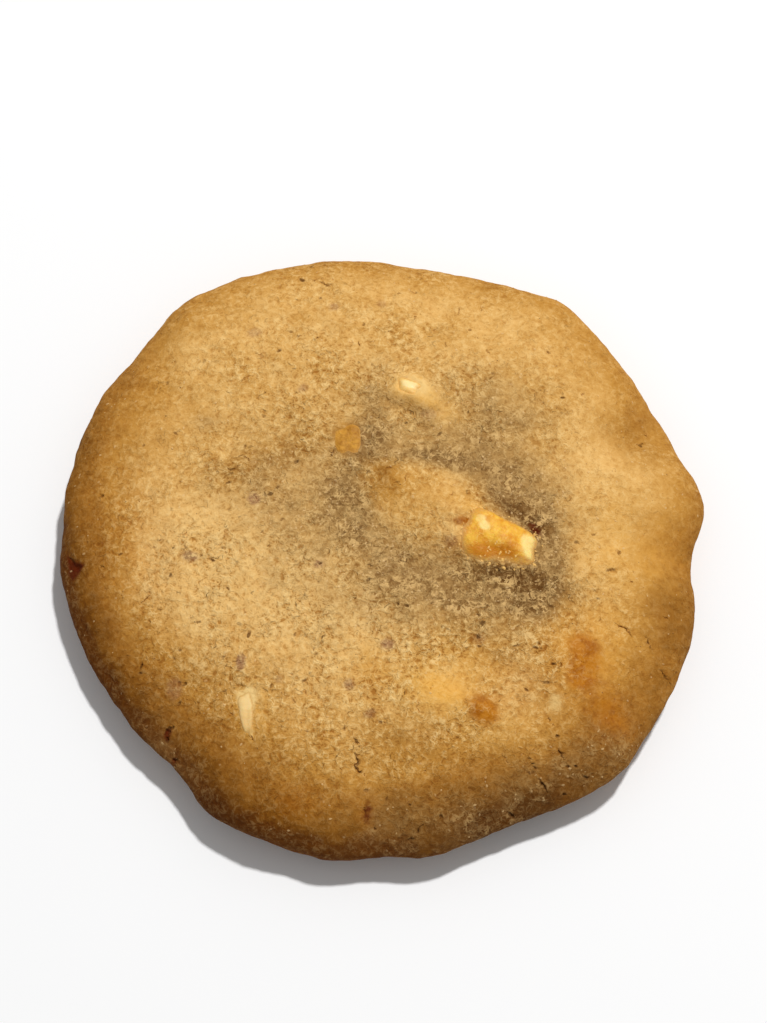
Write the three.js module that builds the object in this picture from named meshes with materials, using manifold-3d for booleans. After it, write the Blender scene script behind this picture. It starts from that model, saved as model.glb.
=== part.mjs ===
// A large, thick, soft-baked speculoos cookie, with pieces of white chocolate and
// toffee baked into its top. Millimetres, +Z up. It lies on its flat base: the origin
// is at the centre of that base, +X runs to the right and +Y to the back.

import * as THREE from 'three';
import { mergeVertices } from 'three/addons/utils/BufferGeometryUtils.js';
import Module from 'manifold-3d';

const wasm = await Module();
wasm.setup();

// ---- Driving dimensions: millimetres, and degrees turned left from +X ----

const EDGE_RADIUS = 44.9;
const PLAN_CENTRE = { x: -0.37, y: -0.21 };
const CROWN_HEIGHT = 14;
const WIDEST_LEVEL = 6;
const FOOT_INSET = 4.5;
const FOOT_CORNER = 60;
const DOME_POWER = 3;
const BAKE_GAP = 0.3;

const TOP_FACET = 1.8;
const BASE_FACET = 4.5;
const FEWEST_FACETS = 6;
const WELD_GAP = 1e-4;

// The share of the outline that runs over the top, down to the widest level.
const TOP_SHARE = 0.75;

// Where the edge of the baked dough swells out or draws in, by its angle.
const EDGE_SWELLS = [
  { name: 'right bulge', at: 10, spread: 5, rise: 0.7 },
  { name: 'right dent', at: 27, spread: 8, rise: -1.1 },
  { name: 'back right shoulder', at: 54, spread: 5, rise: 0.65 },
  { name: 'flat back', at: 82, spread: 12, rise: -1.4 },
  { name: 'back left swell', at: 132, spread: 22, rise: 1.3 },
  { name: 'back left corner', at: 128, spread: 5, rise: 0.55 },
  { name: 'back left draw', at: 137, spread: 8, rise: -0.55 },
  { name: 'front left draw', at: 224, spread: 20, rise: -2.85 },
  { name: 'front left bulge', at: 241, spread: 7, rise: 1.2 },
  { name: 'front dent', at: 271, spread: 5, rise: -1.3 },
  { name: 'front right notch', at: 293, spread: 8, rise: -2.1 },
  { name: 'front right lobe', at: 317, spread: 5, rise: 0.75 },
  { name: 'right nick', at: 357, spread: 4.3, rise: -1.45 },
];

// Bumps and hollows of the top, each a soft oval: half sizes, turn, and rise.
const TOP_RELIEF = [
  { name: 'sunken middle', x: 9.6, y: 1.5, long: 12, wide: 9, turn: -15, rise: -2.1 },
  { name: 'mound over the chunk', x: 8.6, y: 2, long: 7.5, wide: 3.6, turn: -29, rise: 2.6 },
  { name: 'cover of the chip', x: 6.2, y: 18.8, long: 3.6, wide: 2.2, turn: -37, rise: 0.9 },
  { name: 'hollow behind the mound', x: 15, y: 17, long: 6, wide: 4, turn: -30, rise: -0.5 },
  { name: 'left plateau', x: -25, y: -3, long: 7, wide: 6, turn: 0, rise: 0.5 },
  { name: 'left hollow', x: -14, y: 7, long: 6, wide: 4, turn: 20, rise: -0.6 },
  { name: 'front bump', x: 8, y: -24, long: 4, wide: 3, turn: -10, rise: 0.8 },
  { name: 'front right bump', x: 26, y: -18, long: 4.5, wide: 3.5, turn: -40, rise: 0.9 },
  { name: 'small front bump', x: 14, y: -25.5, long: 2, wide: 1.8, turn: 0, rise: 0.4 },
  { name: 'front right hollow', x: 20, y: -25, long: 4, wide: 2.5, turn: -70, rise: -0.5 },
  { name: 'right shoulder bump', x: 33, y: -6, long: 6, wide: 4, turn: 80, rise: 0.6 },
  { name: 'right hollow', x: 35, y: 14, long: 5, wide: 3, turn: 30, rise: -0.9 },
  { name: 'front valley', x: -1, y: -38, long: 6, wide: 2.2, turn: 90, rise: -0.6 },
  { name: 'front left hollow', x: -28, y: -24, long: 6, wide: 4, turn: 50, rise: -0.5 },
  { name: 'back rise', x: -12, y: 30, long: 14, wide: 7, turn: 10, rise: 0.5 },
  { name: 'chunk side hollow', x: 20, y: -9, long: 5, wide: 2.5, turn: -20, rise: -0.5 },
];

// Soft waves that cover the whole crust: the length and the height of each kind.
const CRUST_WAVES = [
  { length: 19, height: 0.26 },
  { length: 12, height: 0.18 },
  { length: 8, height: 0.11 },
];
const WAVES_PER_KIND = 3;
const GOLDEN_ANGLE = Math.PI * (3 - Math.sqrt(5));

// The shoulder sinks where the edge draws in and rises where it swells: how strongly,
// and from which share of the way out.
const SHOULDER_FOLLOW = 0.5;
const SHOULDER_START = 0.5;

// The waves die out below this height, so that the base stays flat.
const WAVES_FROM = 3.6;

// Pieces baked into the top: half sizes, the roll about the long axis, the tilt of its +X
// end and the turn, how far the centre lies under the crust, how much the +X end is
// narrower or wider than the other, and how square the piece is.
const CHUNK = {
  name: 'white_chocolate_chunk',
  x: 15.5, y: -1.7, long: 6.4, wide: 3.8, tall: 2.5, roll: 11, tilt: 9, turn: -21,
  sunk: 1.45, taper: -0.08, square: 2.5, detail: 5,
};
const CHIP = {
  name: 'white_chocolate_chip',
  x: 3.9, y: 20.7, long: 2.6, wide: 1.7, tall: 1.8, roll: 0, tilt: -6, turn: -24,
  sunk: 0.9, taper: -0.15, square: 2.3, detail: 3,
};
const TOFFEE = {
  name: 'toffee_bit',
  x: -4.8, y: 13.3, long: 2.6, wide: 2.4, tall: 1.1, roll: 0, tilt: -2, turn: -85,
  sunk: 0.88, taper: -0.3, square: 3, detail: 3,
};
const FLAKE = {
  name: 'white_chocolate_flake',
  x: -18.2, y: -25.4, long: 3.5, wide: 1.25, tall: 0.9, roll: 9, tilt: 6, turn: -84,
  sunk: 0.7, taper: -0.5, square: 2.6, detail: 3,
};
const BAKED_PIECES = [CHUNK, CHIP, TOFFEE, FLAKE];

// The waves that dent a baked piece: how often they go round along each way, their
// depth as a share of its size, and the size that shifts them.
const DENTS = [
  { way: new THREE.Vector3(4, 5, 0), depth: 0.04, shift: 'long' },
  { way: new THREE.Vector3(0, 7, -3), depth: 0.03, shift: 'wide' },
];

// Cracks of the crust, from end to end, with width and depth.
const CRACKS = [
  { name: 'under the chunk', from: [9.8, -5.2], to: [18.2, -6.9], wide: 0.7, deep: 0.9, bend: -0.6 },
  { name: 'beside the flake', from: [-19.5, -25.0], to: [-17.6, -29.4], wide: 0.6, deep: 0.8, bend: -0.2 },
  { name: 'front', from: [-4.3, -28.4], to: [-3.4, -33.0], wide: 0.6, deep: 0.9, bend: 0.4 },
  { name: 'front right', from: [19.5, -31.4], to: [22.3, -36.0], wide: 0.7, deep: 1.0, bend: 0.5 },
  { name: 'middle right', from: [31.3, -13.1], to: [35.3, -16.9], wide: 0.6, deep: 0.8, bend: 0.5 },
  { name: 'back', from: [-11.2, 37.9], to: [-7.0, 39.0], wide: 0.7, deep: 0.8, bend: 0.2 },
  { name: 'left', from: [-24.4, 8.6], to: [-18.2, 9.8], wide: 0.6, deep: 0.8, bend: 0.5 },
];
const CRACK_STEPS = 8;
const CRACK_RISE = 0.5;
const CRACK_BLUNTNESS = 0.6;
const CRACK_WIGGLE = { times: 5, share: 0.25 };

// Burnt pits of the crust, as short deep hollows.
const PITS = [
  { name: 'left rim', x: -42.3, y: -3.8, long: 1.5, wide: 1.1, tall: 1.0, turn: -50 },
  { name: 'front left', x: -29.1, y: -27.3, long: 1.4, wide: 0.8, tall: 1.1, turn: -65 },
  { name: 'beside the tip', x: 20.8, y: 0.8, long: 1.1, wide: 0.7, tall: 0.9, turn: -40 },
  { name: 'front rim', x: 17.3, y: -38.0, long: 1.4, wide: 0.8, tall: 1.0, turn: -30 },
];
const PIT_FORM = { roll: 0, tilt: 0, sunk: 0.1, taper: 0.2, square: 2, detail: 2 };

// ---- Form of the crust ----

const turned = (angle) => THREE.MathUtils.degToRad(angle);

function edgeRadius(angle) {
  let radius = EDGE_RADIUS;
  for (const swell of EDGE_SWELLS) {
    const away = THREE.MathUtils.euclideanModulo(
      THREE.MathUtils.radToDeg(angle) - swell.at + 180, 360) - 180;
    radius += swell.rise * Math.exp(-0.5 * (away / swell.spread) ** 2);
  }
  return radius;
}

function ovalRelief(x, y) {
  let lift = 0;
  for (const oval of TOP_RELIEF) {
    const dx = x - oval.x;
    const dy = y - oval.y;
    const along = dx * Math.cos(turned(oval.turn)) + dy * Math.sin(turned(oval.turn));
    const across = dy * Math.cos(turned(oval.turn)) - dx * Math.sin(turned(oval.turn));
    lift += oval.rise * Math.exp(-0.5 * ((along / oval.long) ** 2 + (across / oval.wide) ** 2));
  }
  return lift;
}

function crustWaves(x, y, z) {
  let lift = 0;
  CRUST_WAVES.forEach(({ length, height }, kind) => {
    for (let wave = 1; wave <= WAVES_PER_KIND; wave++) {
      const heading = GOLDEN_ANGLE * (kind * WAVES_PER_KIND + wave);
      const along = x * Math.cos(heading) + y * Math.sin(heading) + z;
      lift += (height / WAVES_PER_KIND) * Math.sin((2 * Math.PI * along) / length + heading);
    }
  });
  return lift;
}

// The half outline of an upright cut, from the crown over the widest level to the foot.
// Its x is the radius where the edge neither swells nor draws in, and its y the height.
class CrustOutline extends THREE.Curve {
  getPoint(t, target = new THREE.Vector3()) {
    if (t <= TOP_SHARE) {
      const swing = (t / TOP_SHARE) * (Math.PI / 2);
      const height = WIDEST_LEVEL + (CROWN_HEIGHT - WIDEST_LEVEL) * Math.cos(swing);
      return target.set(EDGE_RADIUS * Math.sin(swing) ** (2 / DOME_POWER), height, 0);
    }
    const corner = turned(FOOT_CORNER);
    const swing = ((t - TOP_SHARE) / (1 - TOP_SHARE)) * corner;
    const drawnIn = (FOOT_INSET * (1 - Math.cos(swing))) / (1 - Math.cos(corner));
    const height = WIDEST_LEVEL * (1 - Math.sin(swing) / Math.sin(corner));
    return target.set(EDGE_RADIUS - drawnIn, height, 0);
  }
}

function shoulderRelief(share, edge) {
  return SHOULDER_FOLLOW * (edge - EDGE_RADIUS) * THREE.MathUtils.smoothstep(share, SHOULDER_START, 1);
}

// A point of the crust above the base, from the outline's point and its outward way.
function crustPoint(outlinePoint, outward, angle) {
  const share = outlinePoint.x / EDGE_RADIUS;
  const edge = edgeRadius(angle);
  const reach = share * edge;
  const x = PLAN_CENTRE.x + reach * Math.cos(angle);
  const y = PLAN_CENTRE.y + reach * Math.sin(angle);
  const z = outlinePoint.y;
  const onTop = Math.max(outward.y, 0);
  const offBase = THREE.MathUtils.smoothstep(z, 0, WAVES_FROM);
  const lift = onTop * (ovalRelief(x, y) + shoulderRelief(share, edge)) + offBase * crustWaves(x, y, z);
  return new THREE.Vector3(
    x + lift * outward.x * Math.cos(angle),
    y + lift * outward.x * Math.sin(angle),
    z + lift * outward.y,
  );
}

// The height of the crust over a place of the top.
function topHeight(x, y) {
  const dx = x - PLAN_CENTRE.x;
  const dy = y - PLAN_CENTRE.y;
  const edge = edgeRadius(Math.atan2(dy, dx));
  const share = Math.min(Math.hypot(dx, dy) / edge, 1);
  const dome = Math.sqrt(1 - share ** DOME_POWER);
  const z = WIDEST_LEVEL + (CROWN_HEIGHT - WIDEST_LEVEL) * dome;
  return z + ovalRelief(x, y) + shoulderRelief(share, edge) + crustWaves(x, y, z);
}

// ---- Meshes from rings ----

// Joins two closed rings of points by a band of triangles. The inner ring may have fewer
// points than the outer one, or be a single point.
function zipRings(triangles, inner, outer, facingDown = false) {
  const add = (a, b, c) => triangles.push(a, ...(facingDown ? [c, b] : [b, c]));
  const innerSteps = inner.length > 1 ? inner.length : 0;
  let i = 0;
  let j = 0;
  while (i < innerSteps || j < outer.length) {
    const innerPoint = inner[i % inner.length];
    const outerPoint = outer[j % outer.length];
    const innerIsBehind = (i + 0.5) * outer.length < (j + 0.5) * inner.length;
    if (j === outer.length || (i < innerSteps && innerIsBehind)) {
      i += 1;
      add(innerPoint, outerPoint, inner[i % inner.length]);
    } else {
      j += 1;
      add(innerPoint, outerPoint, outer[j % outer.length]);
    }
  }
}

function ringOfPoints(points, count, pointAt) {
  const ring = [];
  for (let k = 0; k < count; k++) {
    ring.push(points.length);
    points.push(pointAt((2 * Math.PI * k) / count));
  }
  return ring;
}

function geometryOf(points, triangles) {
  const geometry = new THREE.BufferGeometry();
  geometry.setFromPoints(points);
  geometry.setIndex(triangles);
  geometry.computeVertexNormals();
  return geometry;
}

const facetsRound = (radius, facet) => (
  Math.max(FEWEST_FACETS, Math.round((2 * Math.PI * radius) / facet))
);

function crustRings(points) {
  const outline = new CrustOutline();
  const steps = Math.round(outline.getLength() / TOP_FACET);
  const rings = [];
  for (let step = 0; step <= steps; step++) {
    const at = outline.getPointAt(step / steps);
    const tangent = outline.getTangentAt(step / steps);
    const outward = { x: -tangent.y, y: tangent.x };
    const count = step === 0 ? 1 : facetsRound(at.x, TOP_FACET);
    rings.push(ringOfPoints(points, count, (angle) => crustPoint(at, outward, angle)));
  }
  return rings;
}

function baseRings(points) {
  const footRadius = EDGE_RADIUS - FOOT_INSET;
  const steps = Math.round(footRadius / BASE_FACET);
  const rings = [];
  for (let step = 1; step <= steps; step++) {
    const share = 1 - step / steps;
    const count = step === steps ? 1 : facetsRound(share * footRadius, BASE_FACET);
    const onBase = (angle) => {
      const reach = (share * footRadius * edgeRadius(angle)) / EDGE_RADIUS;
      return new THREE.Vector3(
        PLAN_CENTRE.x + reach * Math.cos(angle), PLAN_CENTRE.y + reach * Math.sin(angle), 0);
    };
    rings.push(ringOfPoints(points, count, onBase));
  }
  return rings;
}

function wholeCrust() {
  const points = [];
  const triangles = [];
  const top = crustRings(points);
  const underside = [top[top.length - 1], ...baseRings(points)];
  for (let k = 1; k < top.length; k++) {
    zipRings(triangles, top[k - 1], top[k]);
  }
  for (let k = 1; k < underside.length; k++) {
    zipRings(triangles, underside[k], underside[k - 1], true);
  }
  return geometryOf(points, triangles);
}

// ---- Baked pieces, cracks and pits ----

// An uneven lump: a ball made square, tapered and dented, then turned into its place.
function lump(piece, grow = 0) {
  const { x, y, long, wide, tall, roll, tilt, turn, sunk, taper, square, detail } = piece;
  const geometry = new THREE.IcosahedronGeometry(1, detail);
  const place = geometry.getAttribute('position');
  const p = new THREE.Vector3();
  for (let k = 0; k < place.count; k++) {
    p.fromBufferAttribute(place, k);
    const sum = Math.abs(p.x) ** square + Math.abs(p.y) ** square + Math.abs(p.z) ** square;
    const dent = (total, { way, depth, shift }) => total + depth * Math.sin(p.dot(way) + piece[shift]);
    p.multiplyScalar(DENTS.reduce(dent, 1) / sum ** (1 / square));
    const girth = 1 + taper * p.x;
    place.setXYZ(k, p.x * (long + grow), p.y * girth * (wide + grow), p.z * (tall + grow));
  }
  geometry.rotateX(turned(roll));
  geometry.rotateY(turned(tilt));
  geometry.rotateZ(turned(turn));
  geometry.translate(x, y, topHeight(x, y) - sunk);
  return geometry;
}

// A V-shaped wedge along a crack, pointed at both ends and bent to one side.
function crackWedge({ from, to, wide, deep, bend }) {
  const points = [];
  const triangles = [];
  const heading = new THREE.Vector2(to[0] - from[0], to[1] - from[1]).normalize();
  const rings = [];
  for (let step = 0; step <= CRACK_STEPS; step++) {
    const share = step / CRACK_STEPS;
    const open = Math.sin(Math.PI * share) ** CRACK_BLUNTNESS;
    const wiggle = CRACK_WIGGLE.share * Math.sin(CRACK_WIGGLE.times * Math.PI * share);
    const aside = bend * (Math.sin(Math.PI * share) + wiggle);
    const x = THREE.MathUtils.lerp(from[0], to[0], share) - heading.y * aside;
    const y = THREE.MathUtils.lerp(from[1], to[1], share) + heading.x * aside;
    const z = topHeight(x, y);
    const first = points.length;
    if (step === 0 || step === CRACK_STEPS) {
      points.push(new THREE.Vector3(x, y, z + CRACK_RISE));
      rings.push([first]);
      continue;
    }
    const half = (0.5 * wide * open * (deep * open + CRACK_RISE)) / (deep * open);
    points.push(new THREE.Vector3(x - heading.y * half, y + heading.x * half, z + CRACK_RISE));
    points.push(new THREE.Vector3(x, y, z - deep * open));
    points.push(new THREE.Vector3(x + heading.y * half, y - heading.x * half, z + CRACK_RISE));
    rings.push([first, first + 1, first + 2]);
  }
  for (let k = 1; k < rings.length; k++) {
    const back = rings[k - 1];
    const front = rings[k];
    for (let side = 0; side < 3; side++) {
      const next = (side + 1) % 3;
      if (front.length === 3) {
        triangles.push(back[side % back.length], front[side], front[next]);
      }
      if (back.length === 3) {
        triangles.push(back[side], front[next % front.length], back[next]);
      }
    }
  }
  return geometryOf(points, triangles);
}

function pitCutter(pit) {
  return lump({ ...PIT_FORM, ...pit });
}

// ---- Solids: only for cutting the pockets, cracks and pits ----

function toSolid(geometry) {
  const bare = new THREE.BufferGeometry();
  bare.setAttribute('position', geometry.getAttribute('position'));
  bare.setIndex(geometry.getIndex());
  const merged = mergeVertices(bare, WELD_GAP);
  return new wasm.Manifold(new wasm.Mesh({
    numProp: 3,
    vertProperties: Float32Array.from(merged.getAttribute('position').array),
    triVerts: Uint32Array.from(merged.getIndex().array),
  }));
}

function toGeometry(solid) {
  const mesh = solid.getMesh();
  const geometry = new THREE.BufferGeometry();
  geometry.setAttribute('position', new THREE.BufferAttribute(mesh.vertProperties, 3));
  geometry.setIndex(new THREE.BufferAttribute(mesh.triVerts, 1));
  geometry.computeVertexNormals();
  return geometry;
}

function bakedCrust() {
  const cutters = [
    ...BAKED_PIECES.map((piece) => lump(piece, BAKE_GAP)),
    ...CRACKS.map(crackWedge),
    ...PITS.map(pitCutter),
  ];
  const cut = (crust, cutter) => crust.subtract(toSolid(cutter));
  return toGeometry(cutters.reduce(cut, toSolid(wholeCrust())));
}

// ---- The cookie ----

const FINISHES = {
  dough: new THREE.MeshStandardMaterial({ color: 0xd7a45f, roughness: 0.8, metalness: 0 }),
  white_chocolate_chunk: new THREE.MeshStandardMaterial({ color: 0xdf9f3c, roughness: 0.35, metalness: 0 }),
  white_chocolate_chip: new THREE.MeshStandardMaterial({ color: 0xf6d389, roughness: 0.45, metalness: 0 }),
  toffee_bit: new THREE.MeshStandardMaterial({ color: 0xbe8636, roughness: 0.4, metalness: 0 }),
  white_chocolate_flake: new THREE.MeshStandardMaterial({ color: 0xecc987, roughness: 0.5, metalness: 0 }),
};

function namedMesh(name, geometry) {
  const mesh = new THREE.Mesh(geometry, FINISHES[name]);
  mesh.name = name;
  return mesh;
}

const cookie = new THREE.Group();
cookie.add(namedMesh('dough', bakedCrust()));
for (const piece of BAKED_PIECES) {
  cookie.add(namedMesh(piece.name, lump(piece)));
}

export default cookie;
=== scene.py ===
"""A large, thick, soft-baked speculoos cookie with white chocolate and toffee in its crust.

The shapes are worked out in millimetres, as in the part's source, with +Z up, +X to the right
and +Y to the back. Angles are degrees turned left from +X. A mesh is in metres.
"""

import logging
import math
from dataclasses import dataclass
from dataclasses import field
from enum import Enum
from functools import cache

import bmesh
import bpy
import numpy as np
from mathutils import Matrix
from mathutils import Vector
from mathutils import noise
from mathutils.bvhtree import BVHTree


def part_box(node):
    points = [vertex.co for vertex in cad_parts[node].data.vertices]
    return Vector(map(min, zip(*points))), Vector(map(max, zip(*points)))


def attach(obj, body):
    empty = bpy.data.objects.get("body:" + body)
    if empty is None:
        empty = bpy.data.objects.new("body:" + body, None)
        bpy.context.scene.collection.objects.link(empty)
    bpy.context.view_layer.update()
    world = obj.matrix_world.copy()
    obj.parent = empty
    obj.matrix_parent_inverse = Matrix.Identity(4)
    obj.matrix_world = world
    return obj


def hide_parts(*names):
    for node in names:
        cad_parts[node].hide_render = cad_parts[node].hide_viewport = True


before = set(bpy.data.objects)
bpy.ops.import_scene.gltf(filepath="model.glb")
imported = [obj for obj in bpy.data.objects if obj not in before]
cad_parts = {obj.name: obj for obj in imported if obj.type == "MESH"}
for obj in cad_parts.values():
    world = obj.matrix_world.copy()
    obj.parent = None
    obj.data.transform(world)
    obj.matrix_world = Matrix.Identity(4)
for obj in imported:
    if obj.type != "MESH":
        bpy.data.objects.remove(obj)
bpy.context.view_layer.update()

log = logging.getLogger("cookie")

METRES = 0.001
BODY = "root"

Rgb = tuple[int, int, int]
Colour = tuple[float, float, float, float]
Corners = tuple[tuple[float, float], ...]


class Mark(Enum):
    """What is kept at every point of the crust, for its colours and its scattered bits."""

    BROWNING_AND_SHADE = "browning_and_shade"  # how far the dough has baked, with painted shade on the rim's side away from the light and under its widest level
    DUSK = "dusk"  # the grey bloom round the mound
    AMBER = "amber"  # caramel that has soaked in
    WAX = "wax"  # pale, waxy melt
    MAUVE = "mauve"  # small greyish pink spots
    BURNT = "burnt"  # burnt sugar
    CRACK = "crack"  # the dark inside of cracks and pits
    GRAIN = "grain"  # how thickly the sugar grains lie
    TOFFEE = "toffee"  # toffee that has spread over the crust
    ROUGH = "rough"  # how strongly the crust has curled
    CREAM = "cream"  # white chocolate that has spread over the crust
    LIP = "lip"  # how thickly crumbs lie on the raised lips
    PAINTED_SHADE = "shade"  # painted shade: darker places in the hollows and along the rim's front and left sides
    SPECK = "speck"  # where spice specks may lie


class Tint(Enum):
    """What is kept at every point of a baked piece, for its colours."""

    # deeper amber; on the chunk's lower face it is partly painted shade
    DEEP_AND_SHADE = "deep"
    # pale places; on the chunk, two small spots are painted highlights
    PALE_AND_HIGHLIGHT = "pale"
    SCORCHED = "scorched"
    VEIL = "veil"


# ---- Small helpers ----


def smoothstep(value: np.ndarray, start: float, end: float) -> np.ndarray:
    """Rises smoothly from 0 at start to 1 at end, where end may be below start.

    Args:
        value: The numbers to map.
        start: Where the rise starts.
        end: Where the rise ends.

    Returns:
        A number from 0 to 1 for each value.
    """
    share = np.clip((value - start) / (end - start), 0.0, 1.0)
    return share * share * (3.0 - 2.0 * share)


def screen_colour(rgb: Rgb) -> Colour:
    """Turns a colour as seen on a screen into the linear colour that shaders use.

    Args:
        rgb: Red, green and blue from 0 to 255.

    Returns:
        Linear red, green and blue, and full alpha.
    """
    shares = [level / 255 for level in rgb]
    red, green, blue = (s / 12.92 if s <= 0.04045 else ((s + 0.055) / 1.055) ** 2.4 for s in shares)
    return red, green, blue, 1.0


def soft_noise(points: np.ndarray, length: float, offset: float = 0.0) -> np.ndarray:
    """Smooth noise from about -1 to 1 at each point.

    Args:
        points: Rows of x, y and z in millimetres.
        length: The rough distance from bump to bump in millimetres.
        offset: Moves the pattern, so that two layers differ.

    Returns:
        One number for each point.
    """
    placed = points / length + offset
    return np.fromiter((noise.noise(Vector(place)) for place in placed), float, len(placed))


@dataclass(frozen=True)
class Oval:
    """A soft oval bump or mark, seen from above.

    Its lengths are millimetres: the place of its middle, half its length and half its width.
    The amount is a rise in millimetres or the strength of a mark.
    """

    x: float
    y: float
    long: float
    wide: float
    turn: float = 0.0
    amount: float = 1.0

    def distance(self, points: np.ndarray) -> np.ndarray:
        """How far points lie from the middle.

        Args:
            points: Rows of x, y and z in millimetres.

        Returns:
            One distance for each point, where 1 is the oval's edge.
        """
        turn = math.radians(self.turn)
        dx = points[:, 0] - self.x
        dy = points[:, 1] - self.y
        along = dx * math.cos(turn) + dy * math.sin(turn)
        across = dy * math.cos(turn) - dx * math.sin(turn)
        return np.hypot(along / self.long, across / self.wide)

    def soft(self, points: np.ndarray) -> np.ndarray:
        """The amount at each point, fading out like a bell curve."""
        return self.amount * np.exp(-0.5 * self.distance(points) ** 2)

    def crisp(self, points: np.ndarray) -> np.ndarray:
        """The amount at each point, even inside and fading quickly at the edge."""
        return self.amount * smoothstep(self.distance(points), 1.3, 0.7)


def ovals(*rows: tuple[float, ...]) -> tuple[Oval, ...]:
    """Ovals from rows of x, y, half length, half width, turn and amount."""
    return tuple(Oval(*row) for row in rows)


@dataclass(frozen=True)
class Patch:
    """A mark with corners, seen from above, that fades over a given width at its edge."""

    corners: Corners
    fade: float
    amount: float = 1.0

    def crisp(self, points: np.ndarray) -> np.ndarray:
        """The amount at each point, even inside and fading at the edge.

        Args:
            points: Rows of x, y and z in millimetres.

        Returns:
            The full amount inside, half of it on the edge and none outside.
        """
        place = points[:, :2]
        corners = np.array(self.corners)
        nearest = np.full(len(points), np.inf)
        inside = np.zeros(len(points), bool)
        for start, end in zip(corners, np.roll(corners, -1, axis=0)):
            side = end - start
            along = np.clip((place - start) @ side / (side @ side), 0.0, 1.0)
            nearest = np.minimum(nearest, np.hypot(*(place - start - along[:, None] * side).T))
            level = (start[1] > place[:, 1]) != (end[1] > place[:, 1])
            if side[1] != 0.0:
                crossing = start[0] + (place[:, 1] - start[1]) / side[1] * side[0]
                inside ^= level & (place[:, 0] < crossing)
        depth = np.where(inside, nearest, -nearest)
        return self.amount * smoothstep(depth, -self.fade, self.fade)


@dataclass(frozen=True)
class RimBakeAndShade:
    """How brown the rim is at an angle in degrees, partly painted shade on the side away from the light, and
    the share of the way out where it starts.
    """

    at: float
    brown: float
    start: float


@dataclass(frozen=True)
class Swell:
    """A place where the crust's edge swells out or draws in, by its angle in degrees."""

    at: float
    spread: float
    rise: float


@dataclass(frozen=True)
class Crack:
    """A crack of the crust, along given points, with its width and depth."""

    path: Corners
    wide: float
    deep: float

    def distance(self, points: np.ndarray) -> tuple[np.ndarray, np.ndarray]:
        """How far points lie from the crack, and how far along it.

        Args:
            points: Rows of x, y and z in millimetres.

        Returns:
            The distance in millimetres and the share of the way along, for each point.
        """
        corners = np.array(self.path)
        lengths = np.hypot(*np.diff(corners, axis=0).T)
        nearest = np.full(len(points), np.inf)
        share = np.zeros(len(points))
        done = 0.0
        for start, end, length in zip(corners[:-1], corners[1:], lengths):
            heading = (end - start) / length
            along = np.clip((points[:, :2] - start) @ heading, 0.0, length)
            away = np.hypot(*(points[:, :2] - start - along[:, None] * heading).T)
            nearer = away < nearest
            nearest[nearer] = away[nearer]
            share[nearer] = (done + along[nearer]) / lengths.sum()
            done += length
        return nearest, share


# ---- Form of the crust ----


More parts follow.
